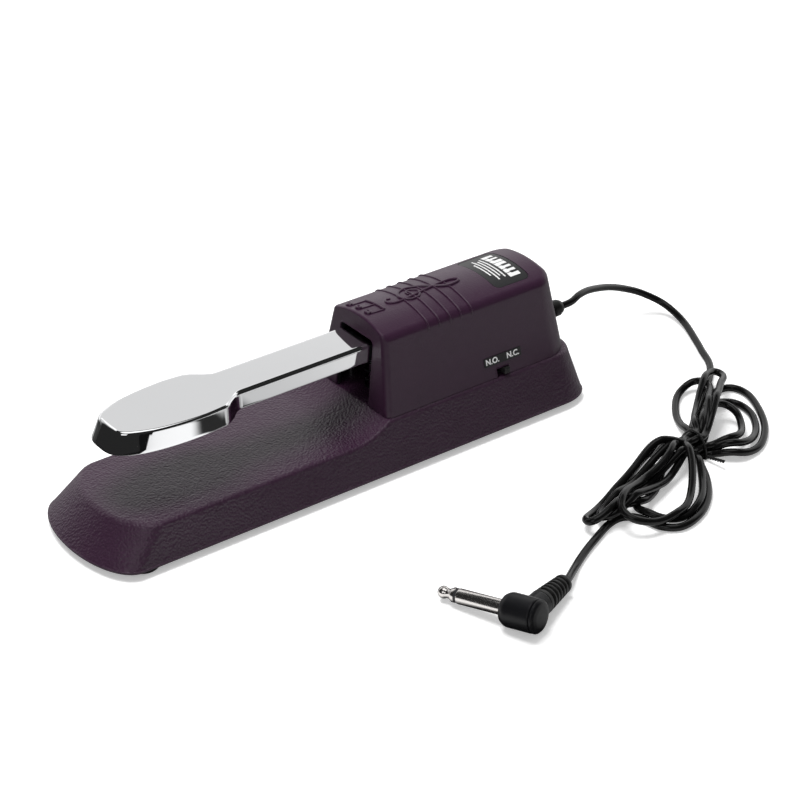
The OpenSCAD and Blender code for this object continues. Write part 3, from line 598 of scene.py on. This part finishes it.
cover = new_object("housing", cover_solid().mesh("housing"))
profile = mouth_profile()
mouth = Solid().strips([np.column_stack([profile[:, 0], profile[:, 0] * 0 + y, profile[:, 1]])
                        for y in (cover_lo[1] - 4, cover_lo[1] + 20)], caps=(True, True))
knob_lo, knob_hi = box("polarity_knob")
slot_y = (knob_lo[1] - 3.4, knob_hi[1] + 0.4)
slot_top = knob_hi[2] + 0.4
knob_slot = block(Solid(), (22.25, slot_y[0], deck_z - 2), (32, slot_y[1], slot_top), 0.3)
relief_lo, relief_hi = box("strain_relief")
exit_z = (relief_lo[2] + relief_hi[2]) / 2
lead_hole = Solid().strips(lathe([(4.05, 108), (4.05, 128)], (0, 0, exit_z), (0, 1, 0), 48), caps=(True, True))
label_lo, label_hi = box("top_label")
label_seat = crown_pad(Solid(), label_lo[0] - 0.2, label_hi[0] + 0.2, label_lo[1] - 0.2, label_hi[1] + 0.2,
                       3, -0.4, 9)
cutters = [new_object("cut", solid.mesh("cut")) for solid in (mouth, knob_slot, lead_hole, label_seat)]
for obj in cutters:
    mod = cover.modifiers.new("cut", "BOOLEAN")
    mod.operation, mod.solver, mod.object = "DIFFERENCE", "EXACT", obj
baked(cover)
for obj in cutters:
    bpy.data.objects.remove(obj)


def over_shoulder(y, drop):
    """Points across the housing at y, over the crown and down both sides by drop."""
    width = lambda z: mix(cover_low[0], cover_high[0], (z - deck_z) / (shoulder_z - deck_z))
    rim_z = shoulder_z
    for _ in range(8):
        rim_z = float(crown(width(rim_z)))
    rim_x, edge = width(rim_z), 2.4
    pts = [(x, float(crown(x))) for x in np.linspace(0, rim_x - edge, 14)]
    start, corner, end = vec(*pts[-1]), vec(rim_x, rim_z), vec(width(rim_z - edge), rim_z - edge)
    pts += [tuple((1 - t) ** 2 * start + 2 * t * (1 - t) * corner + t * t * end)
            for t in np.linspace(0.15, 1, 7)]
    pts += [(width(z), z) for z in np.linspace(rim_z - edge - 0.4, rim_z - edge - drop, 3)]
    half = [(x, y, z) for x, z in pts]
    return np.array([(-x, yy, z) for x, yy, z in reversed(half[1:])] + half)


relief = Solid()
staff_y, staff_pitch = 43.5, 5.83
for line in range(5):
    path = resample(over_shoulder(staff_y + staff_pitch * line, 1.2), 0.5)
    fade = np.minimum(1, 0.25 + np.minimum(np.arange(len(path)), np.arange(len(path))[::-1]) / 5)
    tube(relief, path, 0.5 * fade, 10)


def stroke(solid, points, radius, taper=True):
    """A raised line over the crown, thinner towards its ends."""
    plan_path = spline(lift(np.asarray(points, float), 0), 0.5)[:, :2]
    path = lift(plan_path, crown(plan_path[:, 0]) + 0.05)
    k = np.linspace(0, 1, len(path))
    r = radius * (0.55 + 0.45 * np.sin(np.pi * k) ** 0.5) if taper else radius
    tube(solid, path, r, 10)


# A plain treble clef across the staff, and three joined notes before it
clef = vec([0.05, 0.75], [-0.45, 0.8], [-0.6, 1.3], [-0.05, 1.7], [0.7, 1.3], [0.8, 0.5], [0.1, -0.05],
           [-0.8, 0.3], [-1.1, 1.2], [-0.65, 2.2], [0.2, 3.1], [0.72, 4.0], [0.62, 4.9], [0.3, 5.15],
           [-0.02, 4.6], [-0.02, 3.6], [0.2, 2.2], [0.5, 0.3], [0.55, -0.7], [0.2, -1.25], [-0.35, -1.1],
           [-0.3, -0.7])
stroke(relief, [(x * 5.0 - 1, staff_y + y * staff_pitch) for x, y in clef], 0.78)
note_head = [(1.15 * math.cos(a), 0.85 * math.sin(a)) for a in np.linspace(0, 2 * np.pi, 13)]
for cx, cy in [(-10.5, 23.8), (-4.5, 24.4), (1.5, 24.8)]:
    stroke(relief, [(cx + x, cy + y) for x, y in note_head], 0.85, False)
    stroke(relief, [(cx + 1.6, cy + 0.2), (cx + 1.9, cy + 3.5), (cx + 2.1, cy + 7)], 0.42, False)
stroke(relief, [(-8.4, 30.8), (-2.5, 31.6), (3.6, 31.8)], 0.7, False)
joined = bmesh.new()
joined.from_mesh(cover.data)
joined.from_mesh(relief.mesh("relief"))
joined.to_mesh(cover.data)
joined.free()
smooth(cover.data, 32)
finish(cover, UNIT, "moulded_plastic", ["top_cover"], "plum_smooth", even=True)

# The mouth's inner walls are painted black as shade, with a bead round its edge; a raised frame goes round the
# knob's slot
bead = Solid()
rim_path = mouth_profile(0.1)[1:-1]
front_y = lambda z: cover_lo[1] + 3.5 * (z - deck_z) / (shoulder_z - deck_z)
# Painted shade: faces behind the front face within the mouth's outline get the black switch plastic; this also
# blackens part of the housing's outer rear wall
cover.data.materials.append(looks["switch_plastic"])
for face in cover.data.polygons:
    x, y, z = vec(*face.center) / MM
    if abs(x) < mouth_half + 0.1 and z < mouth_top + 0.1 and y > front_y(z) + 0.4:
        face.material_index = 1
upright = [(mouth_half + 0.1, z) for z in np.linspace(deck_z + 0.4, mouth_top - mouth_r, 8)[:-1]]
outline_path = upright + [tuple(p) for p in rim_path] + [(-x, z) for x, z in reversed(upright)]
tube(bead, [(x, front_y(z) + 0.25, z) for x, z in outline_path], 0.42, 10)
lean = math.tan(side_lean)
slot_x = lambda z: cover_low[0] - (z - deck_z) * lean
frame_path = [(slot_y[0] - 0.2, deck_z + 0.3), (slot_y[0] - 0.2, slot_top - 0.2),
              (slot_y[0] + 0.2, slot_top + 0.2), (slot_y[1] - 0.2, slot_top + 0.2),
              (slot_y[1] + 0.2, slot_top - 0.2), (slot_y[1] + 0.2, deck_z + 0.3)]
tube(bead, [(slot_x(z) - 0.12, y, z) for y, z in frame_path], 0.34, 8)
piece("housing_beads", bead, "moulded_plastic", material="plum_smooth")

# ---- labels ---------------------------------------------------------------------------------
plate = crown_pad(Solid(), label_lo[0], label_hi[0], label_lo[1], label_hi[1], 2.8, -0.4, -0.1, 0.08, 24)
piece("top_plate", plate, "label_black", ["top_label"])
keys, sharps = Solid(), Solid()
key_y = (label_hi[1] - 8.2, label_hi[1] - 2.4)
key_w = 22.0 / 7
for i in range(7):
    x = -11 + i * key_w
    crown_pad(keys, x + 0.2, x + key_w - 0.2, key_y[0], key_y[1], 0.3, -0.12, -0.07, cols=4)
    if i in (1, 2, 4, 5, 6):
        crown_pad(sharps, x - 0.75, x + 0.75, key_y[0] + 2.3, key_y[1] + 0.1, 0.2, -0.1, -0.04, cols=4)
for w, y in [(19, 10.0), (16, 11.8), (20, 13.6), (12, 15.4)]:
    rule_y = label_hi[1] - y
    crown_pad(keys, -w / 2, w / 2, rule_y - 0.35, rule_y + 0.35, 0.3, -0.12, -0.07, cols=12)
piece("plate_print", keys, "label_black", material="print_white")
piece("plate_print_dark", sharps, "label_black")

strip_lo, strip_hi = box("switch_label")
strip_up = vec(-math.sin(side_lean), 0, math.cos(side_lean))
strip_out = vec(math.cos(side_lean), 0, math.sin(side_lean))
strip_origin = vec(cover_hi[0], 0, deck_z)


def on_side(y, up, out):
    return strip_origin + vec(0, y, 0) + strip_up * up + strip_out * out


half_y, half_up, strip_mid = (strip_hi[1] - strip_lo[1]) / 2, 2.05, 8.45
mid_y = (strip_hi[1] + strip_lo[1]) / 2
ring = BOX_PLAN.ring([half_y, -half_up, half_up, 0.5, 0.5, 0.5, 0.5])
strip = Solid().strips([[on_side(mid_y + p[0], strip_mid + p[1], h) for p in ring - outward(ring) * d]
                        for d, h in [(0, -0.2), (0, 0.27), (0.08, 0.35)]], caps=(True, True))
piece("legend_strip", strip, "label_black", ["switch_label"])
side_frame = Matrix.Identity(4)
for row in range(3):
    side_frame[row][:3] = (0, 1, 0)[row], strip_up[row], strip_out[row]
for name, text, y in [("legend_open", "N.O.", mid_y - 5.7), ("legend_closed", "N.C.", mid_y + 5.6)]:
    font = bpy.data.curves.new(name, "FONT")
    font.body, font.size = text, 3.6 * MM
    font.offset, font.extrude = 0.1 * MM, 0.02 * MM
    font.align_x, font.align_y = "CENTER", "CENTER"
    letters = new_object(name, font)
    side_frame.translation = Vector(on_side(y, strip_mid, 0.37)) * MM
    letters.matrix_world = side_frame
    baked_mesh = bpy.data.meshes.new_from_object(letters)
    bpy.data.objects.remove(letters)
    baked_mesh.transform(side_frame)
    finish(new_object(name, baked_mesh), UNIT, "label_black", material="print_white")

# ---- polarity knob --------------------------------------------------------------------------
knob = block(Solid(), knob_lo, knob_hi - vec(0.25, 0, 0), 0.35)
for y in (knob_lo[1] + 0.75, knob_lo[1] + 1.5, knob_lo[1] + 2.25):
    tube(knob, [(knob_hi[0] - 0.25, y, z) for z in (knob_lo[2] + 0.3, knob_hi[2] - 0.3)], 0.24, 8)
piece("slide_knob", knob, "knob_plastic", ["polarity_knob"], body="polarity_slider")

# ---- lever ----------------------------------------------------------------------------------
lever_lo, lever_hi = box("pedal_lever")
lever_top, toe_y, lever_rear = lever_hi[2], lever_lo[1] - 2.2, lever_hi[1]
neck_half, shoulder_half, widest = 10.5, lever_hi[0] - 0.2, lever_hi[0] + 0.6
neck_y, notch_y, paddle_y, wide_y = -45.0, -50.0, -58.0, -72.0
toe_power = 0.3
sheet = 1.6


def eased(t):
    """t kept to 0..1, with a smooth start and end."""
    t = np.clip(t, 0, 1)
    return t * t * (3 - 2 * t)


def lever_half(y):
    if y > paddle_y:
        return mix(neck_half, shoulder_half, eased((neck_y - y) / (neck_y - paddle_y)))
    if y > wide_y:
        return mix(shoulder_half, widest, math.sin(math.pi / 2 * (paddle_y - y) / (paddle_y - wide_y)))
    return widest * max(0.0, 1 - ((wide_y - y) / (wide_y - toe_y)) ** 2) ** toe_power


def flange_bottom(y):
    """The paddle's flange hangs a little lower than the neck's."""
    return lever_lo[2] + eased((y - notch_y + 1.5) / 3)


def lever_solid():
    toe = [(widest * k, wide_y + (toe_y - wide_y) * math.sqrt(1 - k ** (1 / toe_power)))
           for k in np.sin(np.linspace(0, np.pi / 2, 60, endpoint=False))]
    ys = list(np.linspace(wide_y, neck_y, 44, endpoint=False)) + list(np.linspace(neck_y, lever_rear, 14))
    corner = 20
    right = toe + [(lever_half(y), y) for y in ys]
    rear = [(x, lever_rear) for x in np.linspace(neck_half, 0, corner + 1)[1:]]
    half = np.array(right + rear)
    ring = np.vstack([half, half[-2:0:-1] * (-1, 1)])
    n_out = outward(ring)
    at_rear = ring[:, 1] > lever_rear - 0.01
    n_out[at_rear] = (0, 1)
    bottom = flange_bottom(ring[:, 1])
    bottom[at_rear] = lever_top - sheet - 0.05
    edge = np.interp(ring[:, 1], [-100, -60, -45], [1.1, 1.2, 1.7])[:, None]
    edge[at_rear] = 0.8
    drop = edge[:, 0]
    inner_z = lever_top - sheet

    # The flange leans in towards the top, most of all round the toe
    lean = np.interp(ring[:, 1], [toe_y, -98, -88, -66], [0.22, 0.26, 0.16, 0.02])
    lean += 0.3 * np.minimum(n_out[:, 1], 0) ** 2 * (ring[:, 1] < -90)
    lean[at_rear] = 0

    def level(inset, z):
        spread = lean * np.maximum(z - bottom, 0)
        return lift(ring - n_out * (np.reshape(inset, (-1, 1)) + spread[:, None]), z)

    flat = np.zeros(len(ring))
    face = level(edge, flat + lever_top)
    shoulder = level(0, flat + lever_top - drop)
    rings = curve_between(face, level(0, flat + lever_top), shoulder, 10)
    for t in np.linspace(0.12, 1, 7):
        rings.append(level(0, np.minimum(mix(lever_top - drop, bottom + 0.3, t), lever_top - drop)))
    rings += [level(d, z) for d, z in [
        (0.12, bottom + 0.08), (0.35, bottom), (sheet - 0.2, bottom), (sheet, np.minimum(bottom + 0.2, inner_z)),
        (sheet + 0.4, flat + inner_z - 0.6), (sheet + 0.9, flat + inner_z)]]
    solid = Solid()
    solid.strips(rings)
    b = len(half) - 1 - corner
    grid = coons(face[:, :2], corner, b)
    solid.grid(np.dstack([grid, grid[:, :, 0] * 0 + lever_top]))
    grid = coons(rings[-1][:, :2], corner, b)
    solid.grid(np.dstack([grid, grid[:, :, 0] * 0 + inner_z])[:, ::-1])
    return solid


piece("chrome_lever", lever_solid(), "chrome", ["pedal_lever"], body="lever", crease=40, even=True)

# ---- feet, relief and spring ----------------------------------------------------------------
foot = rounded([(0, 0), (2.5, 0), (2.9, 0.35), (6.1, 0.0), (7, 0.9), (7, 3), (2.4, 3), (2.4, 5.2), (0, 5.2)], 0.5)
feet = Solid()
for x, y in [(25.5, -105), (-25.5, -105), (24, 106), (-24, 106), (0, 0)]:
    feet.strips(lathe(foot, (x, y, 0), seg=56))
piece("round_feet", feet, "rubber", ["rubber_feet"])

boot = Solid()
profile = rounded([(1.7, 111), (5.4, 111), (5.4, 113.6), (4, 113.6), (4, 120.6), (4.3, 121.4), (4.2, 123.4),
                   (3.4, 124.4), (3.2, 127.4), (3.9, 128.2), (3.8, 131.4), (2.8, 133.4), (1.72, 133.6)], 0.4)
boot.strips(lathe(profile, (0, 0, exit_z), (0, 1, 0), 48))
boot.strips(lathe([(1.72, 133.6), (1.7, 111)], (0, 0, exit_z), (0, 1, 0), 48))
piece("exit_boot", boot, "cable_vinyl", ["strain_relief"], "boot_vinyl")

spring = Solid()
turns, coil_r, wire_r, closed_pitch = 7, 5, 0.6, 1.2
z0, z1 = spring_lo[2] + wire_r, spring_hi[2] - wire_r
run = np.linspace(0, turns, turns * 40 + 1)
open_rise = closed_pitch + (run - 1) * (z1 - z0 - 2 * closed_pitch) / (turns - 2)
rise = np.where(run < 1, run * closed_pitch,
                np.where(run > turns - 1, (z1 - z0) - (turns - run) * closed_pitch, open_rise))
path = np.column_stack([coil_r * np.cos(2 * np.pi * run), spring_y + coil_r * np.sin(2 * np.pi * run), z0 + rise])
tube(spring, path, wire_r, 12)
coil = piece("press_spring", spring, "spring_steel", ["return_spring"], crease=60)
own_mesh(coil)

# ---- plug -----------------------------------------------------------------------------------
mount = next(m for m in frame["record"]["mounts"] if m["name"] == "plug_sleeve")
plug_axis = unit(mount["axis"])
front, sleeve_len = 10.4, 21.0
elbow = vec(*mount["pos_m"]) / MM - plug_axis * (front + sleeve_len / 2)
boot_heading, boot_tilt, boot_l = math.radians(22), math.radians(6), 30.0
boot_axis = vec(-math.sin(boot_heading) * math.cos(boot_tilt), math.cos(boot_heading) * math.cos(boot_tilt),
                -math.sin(boot_tilt))


def turned(profile, radius, axis=plug_axis, seg=64, steps=3):
    return Solid().strips(lathe(rounded(profile, radius, steps), elbow, axis, seg))


shell = turned([(0, -3.9), (7, -3.9), (7, front - 2.4), (5.6, front), (0, front)], 0.8, seg=72, steps=4)
socket = turned([(0, 0), (5.3, 0), (5.2, 10.2), (0, 10.2)], 0.3, boot_axis)
shell_obj = new_object("plug_shell", shell.mesh("plug_shell"))
extra = new_object("plug_socket", socket.mesh("plug_socket"))
mod = shell_obj.modifiers.new("join", "BOOLEAN")
mod.operation, mod.solver, mod.object = "UNION", "EXACT", extra
mod = shell_obj.modifiers.new("skin", "REMESH")
mod.mode, mod.voxel_size = "VOXEL", 0.28 * MM
mod = shell_obj.modifiers.new("ease", "SMOOTH")
mod.factor, mod.iterations = 0.5, 5
baked(shell_obj)
bpy.data.objects.remove(extra)
smooth(shell_obj.data, 60)
finish(shell_obj, UNIT, "plug_plastic", ["plug_body"])

cap = turned([(0, -3.6), (6.4, -3.6), (6.4, -4.2), (6.9, -4.35), (6.85, -5), (6.0, -5.9), (4.2, -6.3),
              (0, -6.4)], 0.5, seg=72, steps=4)
piece("plug_end_cap", cap, "plug_plastic", ["plug_cap"], crease=50)

ribs = [(1.75, 9.9), (5.0, 9.9), (5.2, 10.4), (5.15, 12.2)]
for i in range(6):
    z, r = 13 + 2.65 * i, 4.95 - 0.2 * i
    ribs += [(r - 0.95, z), (r - 0.95, z + 0.7), (r, z + 1.05), (r - 0.02, z + 2.25)]
ribs += [(3.9, 28.7), (3.6, 29.7), (2.9, 30), (1.75, 30)]
piece("ribbed_boot", turned(ribs, 0.3, boot_axis, 56), "cable_vinyl", ["plug_boot"], "boot_vinyl", crease=50)

sleeve_end = front + sleeve_len
sleeve = turned([(0, front - 5), (2.55, front - 5), (2.55, front), (3.175, front), (3.175, sleeve_end - 0.3),
                 (2.9, sleeve_end), (0, sleeve_end)], 0.15)
piece("sleeve", sleeve, "nickel", ["plug_sleeve"])
collar = turned([(0, sleeve_end - 0.1), (2.95, sleeve_end - 0.1), (2.95, front + 22.25), (0, front + 22.25)], 0.12)
piece("ring", collar, "switch_plastic", ["plug_insulator"])
end = front + 30.5
ball = [(2.55 * math.cos(a), end - 2.55 + 2.55 * math.sin(a)) for a in np.radians(np.linspace(-38, 90, 22))]
tip = [(0, front + 22.1), (3.0, front + 22.1), (3.02, front + 23.3), (2.6, front + 24), (1.95, front + 25.2)]
tip += ball[:-1] + [(0, end)]
piece("tip", Solid().strips(lathe(tip, elbow, plug_axis, 64)), "nickel", ["plug_tip"], crease=45)

# ---- lead -----------------------------------------------------------------------------------
# The hank: lobes above and below a tied waist, given in plan. Each strand has its own place in the
# tie, in columns across and rows up, and each lobe has a level: higher ones lie over lower ones.
cable_r = 1.65
ground = cable_r + 0.1
waist = vec(95.5, 129.5)
column_pitch, row_pitch = 2 * cable_r + 0.12, 2.95
upper = {
    "outer": (0, [(106.5, 135), (112, 142), (110.5, 154), (101.5, 166), (89, 175), (75, 181), (66, 179),
                  (65, 170), (71, 160), (79, 150), (87, 141)]),
    "second": (1, [(104.5, 136), (108.5, 142), (107, 151.5), (99.5, 162.5), (88, 170.5), (78, 171), (74.5, 163.5),
                   (78, 153), (87, 142)]),
    "inner": (2, [(103, 137), (104.5, 142), (103, 149), (97, 156), (89, 160.5), (82.5, 158.5), (83, 150),
                  (89, 142)]),
    "left": (3, [(91, 141), (80, 152), (69, 163), (60, 168), (55, 164.5), (57.5, 154.5), (68, 144), (79, 137.5)]),
    "tall": (4, [(86, 138), (76, 148.5), (66, 161), (59, 171.5), (58, 177), (63, 177), (70, 168.5), (80, 157.5),
                 (90, 144.5)]),
}
lower = {
    "second": (1, [(91, 118), (95, 106), (102, 93), (110, 83), (119, 77.5), (127, 79.5), (132, 87), (132, 95),
                   (127.5, 104), (119.5, 112), (109.5, 119.5)]),
    "bright": (4, [(97, 117), (103, 108), (106, 99), (108, 88), (113.5, 75), (120, 66), (127, 65.5), (131.5, 72),
                   (132.5, 82), (130, 93), (122.5, 103), (112, 112.5), (101, 119.5)]),
    "tip": (3, [(96, 119), (93.5, 107), (98, 92), (102.5, 77), (107, 63.5), (112, 54), (117, 53), (117.5, 60.5),
                (112.5, 76), (108, 92), (104.5, 108), (102, 119)]),
    "inner": (2, [(95.5, 118), (98, 104), (102.5, 89), (107, 74), (111, 63), (115, 60), (118, 66), (115.5, 80),
                  (111, 97), (103, 116)]),
    "narrow": (1, [(94, 118), (103, 104), (111.5, 92), (117, 81), (114, 74), (107, 77), (99, 86), (93, 96.5),
                   (88.5, 107), (87.5, 118)]),
}
boot_end = elbow + boot_axis * boot_l
path_in = [boot_end - boot_axis * k for k in (6, 3)] + [boot_end + boot_axis * k for k in (0, 3)]
path_in += [(x, y, ground) for x, y in [
    (132.5, 31.5), (126.5, 42), (122, 51.5), (117.5, 62), (117, 70), (122.5, 75.5), (131, 77.5), (136.5, 83),
    (136.5, 91), (132.5, 101), (125, 110.5), (115, 118.5)]]
order = [(2, 0), upper["outer"], (-1, 0), lower["second"], (1, 0), upper["second"], (-0.5, 1), lower["bright"],
         (-0.5, 2), upper["tall"], (0.5, 2), lower["tip"], (1.5, 1), upper["inner"], (0, 0), lower["inner"],
         (0.5, 1), upper["left"], (-1.5, 1), lower["narrow"], (-2, 0)]
path_out = [(x, y, ground) for x, y in [(83, 139.5), (73, 152), (62, 167), (52, 179.5), (43.3, 187), (34, 191.5)]]
path_out += [(24, 196.5, 1.9), (8, 203, 3), (-6, 203.5, 6), (-13.5, 196, 11), (-15, 186, 16),
             (-12.5, 173, 22), (-7, 157, 28), (-3, 147, 30.3), (-0.6, 141, exit_z), (0, 137, exit_z),
             (0, 130, exit_z), (0, 118, exit_z), (0, 110, exit_z)]
points, owner, levels = list(path_in), [-1] * len(path_in), []
rearward = 1
for item in order:
    if isinstance(item[1], list):
        points += [(x, y, 0) for x, y in item[1]]
        owner += [len(levels)] * len(item[1])
        levels.append(item[0])
    else:
        x, z = waist[0] + item[0] * column_pitch, ground + item[1] * row_pitch
        points += [(x, waist[1] - rearward * 3.2, z), (x, waist[1] + rearward * 3.2, z)]
        owner += [-1, -1]
        rearward = -rearward
points, owner = points + path_out, owner + [-1] * len(path_out)


def smooth_over(need):
    """A smooth line of heights, no lower than need and no steeper than a lead lies."""
    fall = 0.28
    height = need.copy()
    for k in range(1, len(height)):
        height[k] = max(height[k], height[k - 1] - fall)
    for k in range(len(height) - 2, -1, -1):
        height[k] = max(height[k], height[k + 1] - fall)
    for _ in range(8):
        wide = np.pad(height, 3, mode="edge")
        soft = sum(w * wide[k:k + len(height)] for k, w in enumerate((1, 2, 3, 4, 3, 2, 1))) / 16
        height = np.maximum(soft, need)
    return height


def drape(points, owner, levels):
    """The lead's path: lobes are laid level by level, each resting on the floor and the lower ones."""
    p = np.asarray(points, float)
    q = np.vstack([2 * p[0] - p[1], p, 2 * p[-1] - p[-2]])
    path, belongs = [], []
    for i in range(len(p) - 1):
        a, b, c, d = q[i:i + 4]
        n = max(2, int(round(np.linalg.norm((c - b)[:2]) + abs(c[2] - b[2]) * 0.3)))
        who = max(owner[i], owner[i + 1])
        for t in np.linspace(0, 1, n, endpoint=False):
            path.append(0.5 * (2 * b + (c - a) * t + (2 * a - 5 * b + 4 * c - d) * t ** 2
                               + (3 * b - a - 3 * c + d) * t ** 3))
            belongs.append(who)
    path, belongs = np.vstack([path, p[-1]]), np.array(belongs + [owner[-1]])
    floor_level = cable_r + 0.03
    path[:, 2] = np.maximum(path[:, 2], floor_level)
    placed = belongs < 0
    for lobe in sorted(range(len(levels)), key=lambda k: (levels[k], k)):
        both = np.flatnonzero(belongs == lobe)
        ends = path[[both[0], both[-1] + 1], 2]
        need = np.full(len(both), floor_level)
        for half in (both[:len(both) // 2], both[len(both) // 2:]):
            under = np.flatnonzero(placed)
            gap = np.hypot(*(path[half][:, None, :2] - path[under][None, :, :2]).transpose(2, 0, 1))
            apart = np.abs(half[:, None] - under[None]) > 9
            over = np.where((gap < 2 * cable_r) & apart,
                            path[under, 2] + np.sqrt(np.maximum(0, (2 * cable_r) ** 2 - gap ** 2)), 0)
            at = half - both[0]
            need[at] = np.maximum(need[at], over.max(axis=1))
            steps = np.arange(len(both))
            inward = np.minimum(steps, len(both) - 1 - steps)
            height = np.minimum(smooth_over(need), 7.5 + 0.3 * inward)
            z = mix(ends[0], height, eased((steps + 0.5) / 14))
            z = mix(ends[1], z, eased((len(both) - steps - 0.5) / 14))
            path[both, 2] = np.maximum(z, floor_level)
            placed[half] = True
    return path


lead_path = drape(points, owner, levels)
lead_fine = resample(lead_path, 1.1)
for _ in range(3):
    lead_fine[1:-1] = (lead_fine[:-2] + 2 * lead_fine[1:-1] + lead_fine[2:]) / 4
piece("lead", tube(Solid(), lead_fine, cable_r, 18), "cable_vinyl", ["cable"], crease=70)

# The tie: a thin wire drawn round the settled strands, with its ends twisted together
section = np.array([mix(a, b, (waist[1] - a[1]) / (b[1] - a[1]))[[0, 2]]
                    for a, b in zip(lead_path, lead_path[1:])
                    if (a[1] - waist[1]) * (b[1] - waist[1]) <= 0 and abs(a[0] - waist[0]) < 16])
tie_r = 0.5
turn = np.linspace(0, 2 * np.pi, 73)
circle = np.column_stack([np.cos(turn), np.sin(turn)])
cloud = (section[:, None] + circle[None] * (cable_r + tie_r)).reshape(-1, 2)
reach = [(cloud @ c).max() for c in circle]
hull = np.array([np.linalg.solve(circle[i:i + 2], reach[i:i + 2]) for i in range(len(circle) - 1)])
loop = np.column_stack([hull[:, 0], np.full(len(hull), waist[1]), np.maximum(hull[:, 1], tie_r + 0.02)])
loop = resample(np.vstack([loop, loop[:1]]), 0.6)
rings = tube_rings(loop[:-1], tie_r, 12)
tie = Solid().strips(rings + rings[:1])
knot = loop[np.argmax(loop[:, 0])]
tail_dir = unit([10, 1, 2])
across = unit(np.cross(tail_dir, (0, 0, 1)))
above = np.cross(across, tail_dir)
along = np.linspace(-1, 10, 60)
for phase in (0, np.pi):
    spin = along * 2.2 + phase
    offset = np.outer(np.cos(spin), across) + np.outer(np.sin(spin), above)
    tube(tie, knot + np.outer(along, tail_dir) + 0.42 * offset, 0.4, 10)
piece("wire_tie", tie, "tie_plastic", ["cable_tie"], crease=60)

# ---- CAD nodes that stay --------------------------------------------------------------------
slots = {s["node"]: s["material_slot"] for s in frame["record"]["subparts"]}
for node, obj in frame["nodes"].items():
    if obj.hide_render:
        continue
    obj.data.materials.clear()
    obj.data.materials.append(looks[slots[node]])
    obj.data.polygons.foreach_set("material_index", [0] * len(obj.data.polygons))

# ---- stage, light and camera ----------------------------------------------------------------
floor_mesh = bpy.data.meshes.new("floor")
reach = 3.0
floor_mesh.from_pydata([(-reach, -reach, 0), (reach, -reach, 0), (reach, reach, 0), (-reach, reach, 0)], [],
                       [(0, 1, 2, 3)])
floor = new_object("floor", floor_mesh)
floor_look = look("pale_floor", (0.9, 0.9, 0.9), 0.6, grain=1.5, depth=0.01, vary=0.01, specular=0.2)
floor_mesh.materials.append(floor_look)

# Painted reflection: mirrors see the table dimmed to about a third near the object, dark past its front end and in
# a dark stripe to its right, so the chrome shows dark bands; the camera sees it a little overexposed
g = Graph(floor_look.node_tree)
rays = g.node("LightPath")
xyz = g.node("SeparateXYZ", Vector=g.node("NewGeometry").outputs["Position"])
front_end = g.steps(xyz.outputs["Y"], [(-0.150, 0.0), (-0.138, 1.0)])
beside = g.steps(xyz.outputs["Y"], [(-0.032, 1.0), (-0.022, 0.02), (-0.004, 0.02), (0.006, 0.55), (0.09, 0.75)])
away = g.steps(xyz.outputs["X"], [(0.058, 0.0), (0.066, 1.0)])
painted_reflection = g.math("MULTIPLY", front_end, g.blend(0.36, beside, away))
shown = g.blend(1.0, painted_reflection, rays.outputs["Is Glossy Ray"])
shader = g.tree.nodes["Principled BSDF"]
plain = shader.inputs["Base Color"].links[0].from_socket
g.feed(shader.inputs["Base Color"], g.colours(plain, shown, 1, "MULTIPLY"))
g.feed(shader.inputs["Emission Color"], (1, 1, 1, 1))
g.feed(shader.inputs["Emission Strength"], g.math("MULTIPLY", rays.outputs["Is Camera Ray"], 0.35))

# A grey wall behind the object in a dark room, soft ambient light, white for the camera
world = bpy.data.worlds.new("studio")
bpy.context.scene.world = world
world.use_nodes = True
g = Graph(world.node_tree)
rays = g.node("LightPath")
xyz = g.node("SeparateXYZ", Vector=g.node("TexCoord").outputs["Generated"])
behind = g.math("ADD", g.math("MULTIPLY", xyz.outputs["X"], -0.80), g.math("MULTIPLY", xyz.outputs["Y"], 0.60))
wall = g.math("MULTIPLY", g.steps(behind, [(0.30, 0.0), (0.50, 1.0)]),
              g.steps(xyz.outputs["Z"], [(0.10, 0.85), (0.42, 0.85), (0.50, 0.62), (0.57, 0.62), (0.63, 1.0),
                                         (0.68, 1.0), (0.72, 0.0)]))
above = g.steps(xyz.outputs["Z"], [(0.90, 0.0), (0.96, 1.0)])
mirrored = g.math("ADD", g.math("ADD", g.math("MULTIPLY", wall, 1.2), g.math("MULTIPLY", above, 1.4)), 0.02)
level = g.blend(g.blend(0.35, mirrored, rays.outputs["Is Glossy Ray"]), 1.2, rays.outputs["Is Camera Ray"])
background = g.tree.nodes["Background"]
g.feed(background.inputs["Color"], (1, 1, 1, 1))
g.feed(background.inputs["Strength"], level)


def area(name, place, target, size, power):
    data = bpy.data.lights.new(name, "AREA")
    data.shape, data.size, data.energy = "SQUARE", size, power
    lamp = new_object(name, data)
    lamp.location = place
    lamp.rotation_euler = (Vector(target) - Vector(place)).to_track_quat("-Z", "Y").to_euler()
    return lamp


area("key", (-0.24, -0.07, 1.28), (0.03, 0.03, 0), 0.7, 18).visible_glossy = False
area("fill", (0.75, -1.1, 0.75), (0.03, 0.0, 0.02), 0.7, 2)

camera = bpy.data.cameras.new("camera")
camera.lens, camera.sensor_width = 104.817, 36
camera.clip_start, camera.clip_end = 0.05, 20
eye = new_object("camera", camera)
to_right, to_top, to_back = ((0.59459, 0.803987, -0.008222), (-0.403128, 0.30695, 0.862131),
                             (0.695666, -0.5093, 0.506619))
pose = Matrix((to_right, to_top, to_back)).transposed().to_4x4()
pose.translation = (0.711314, -0.478431, 0.530934)
eye.matrix_world = pose
bpy.context.scene.camera = eye
bpy.context.scene.view_settings.view_transform = "Standard"
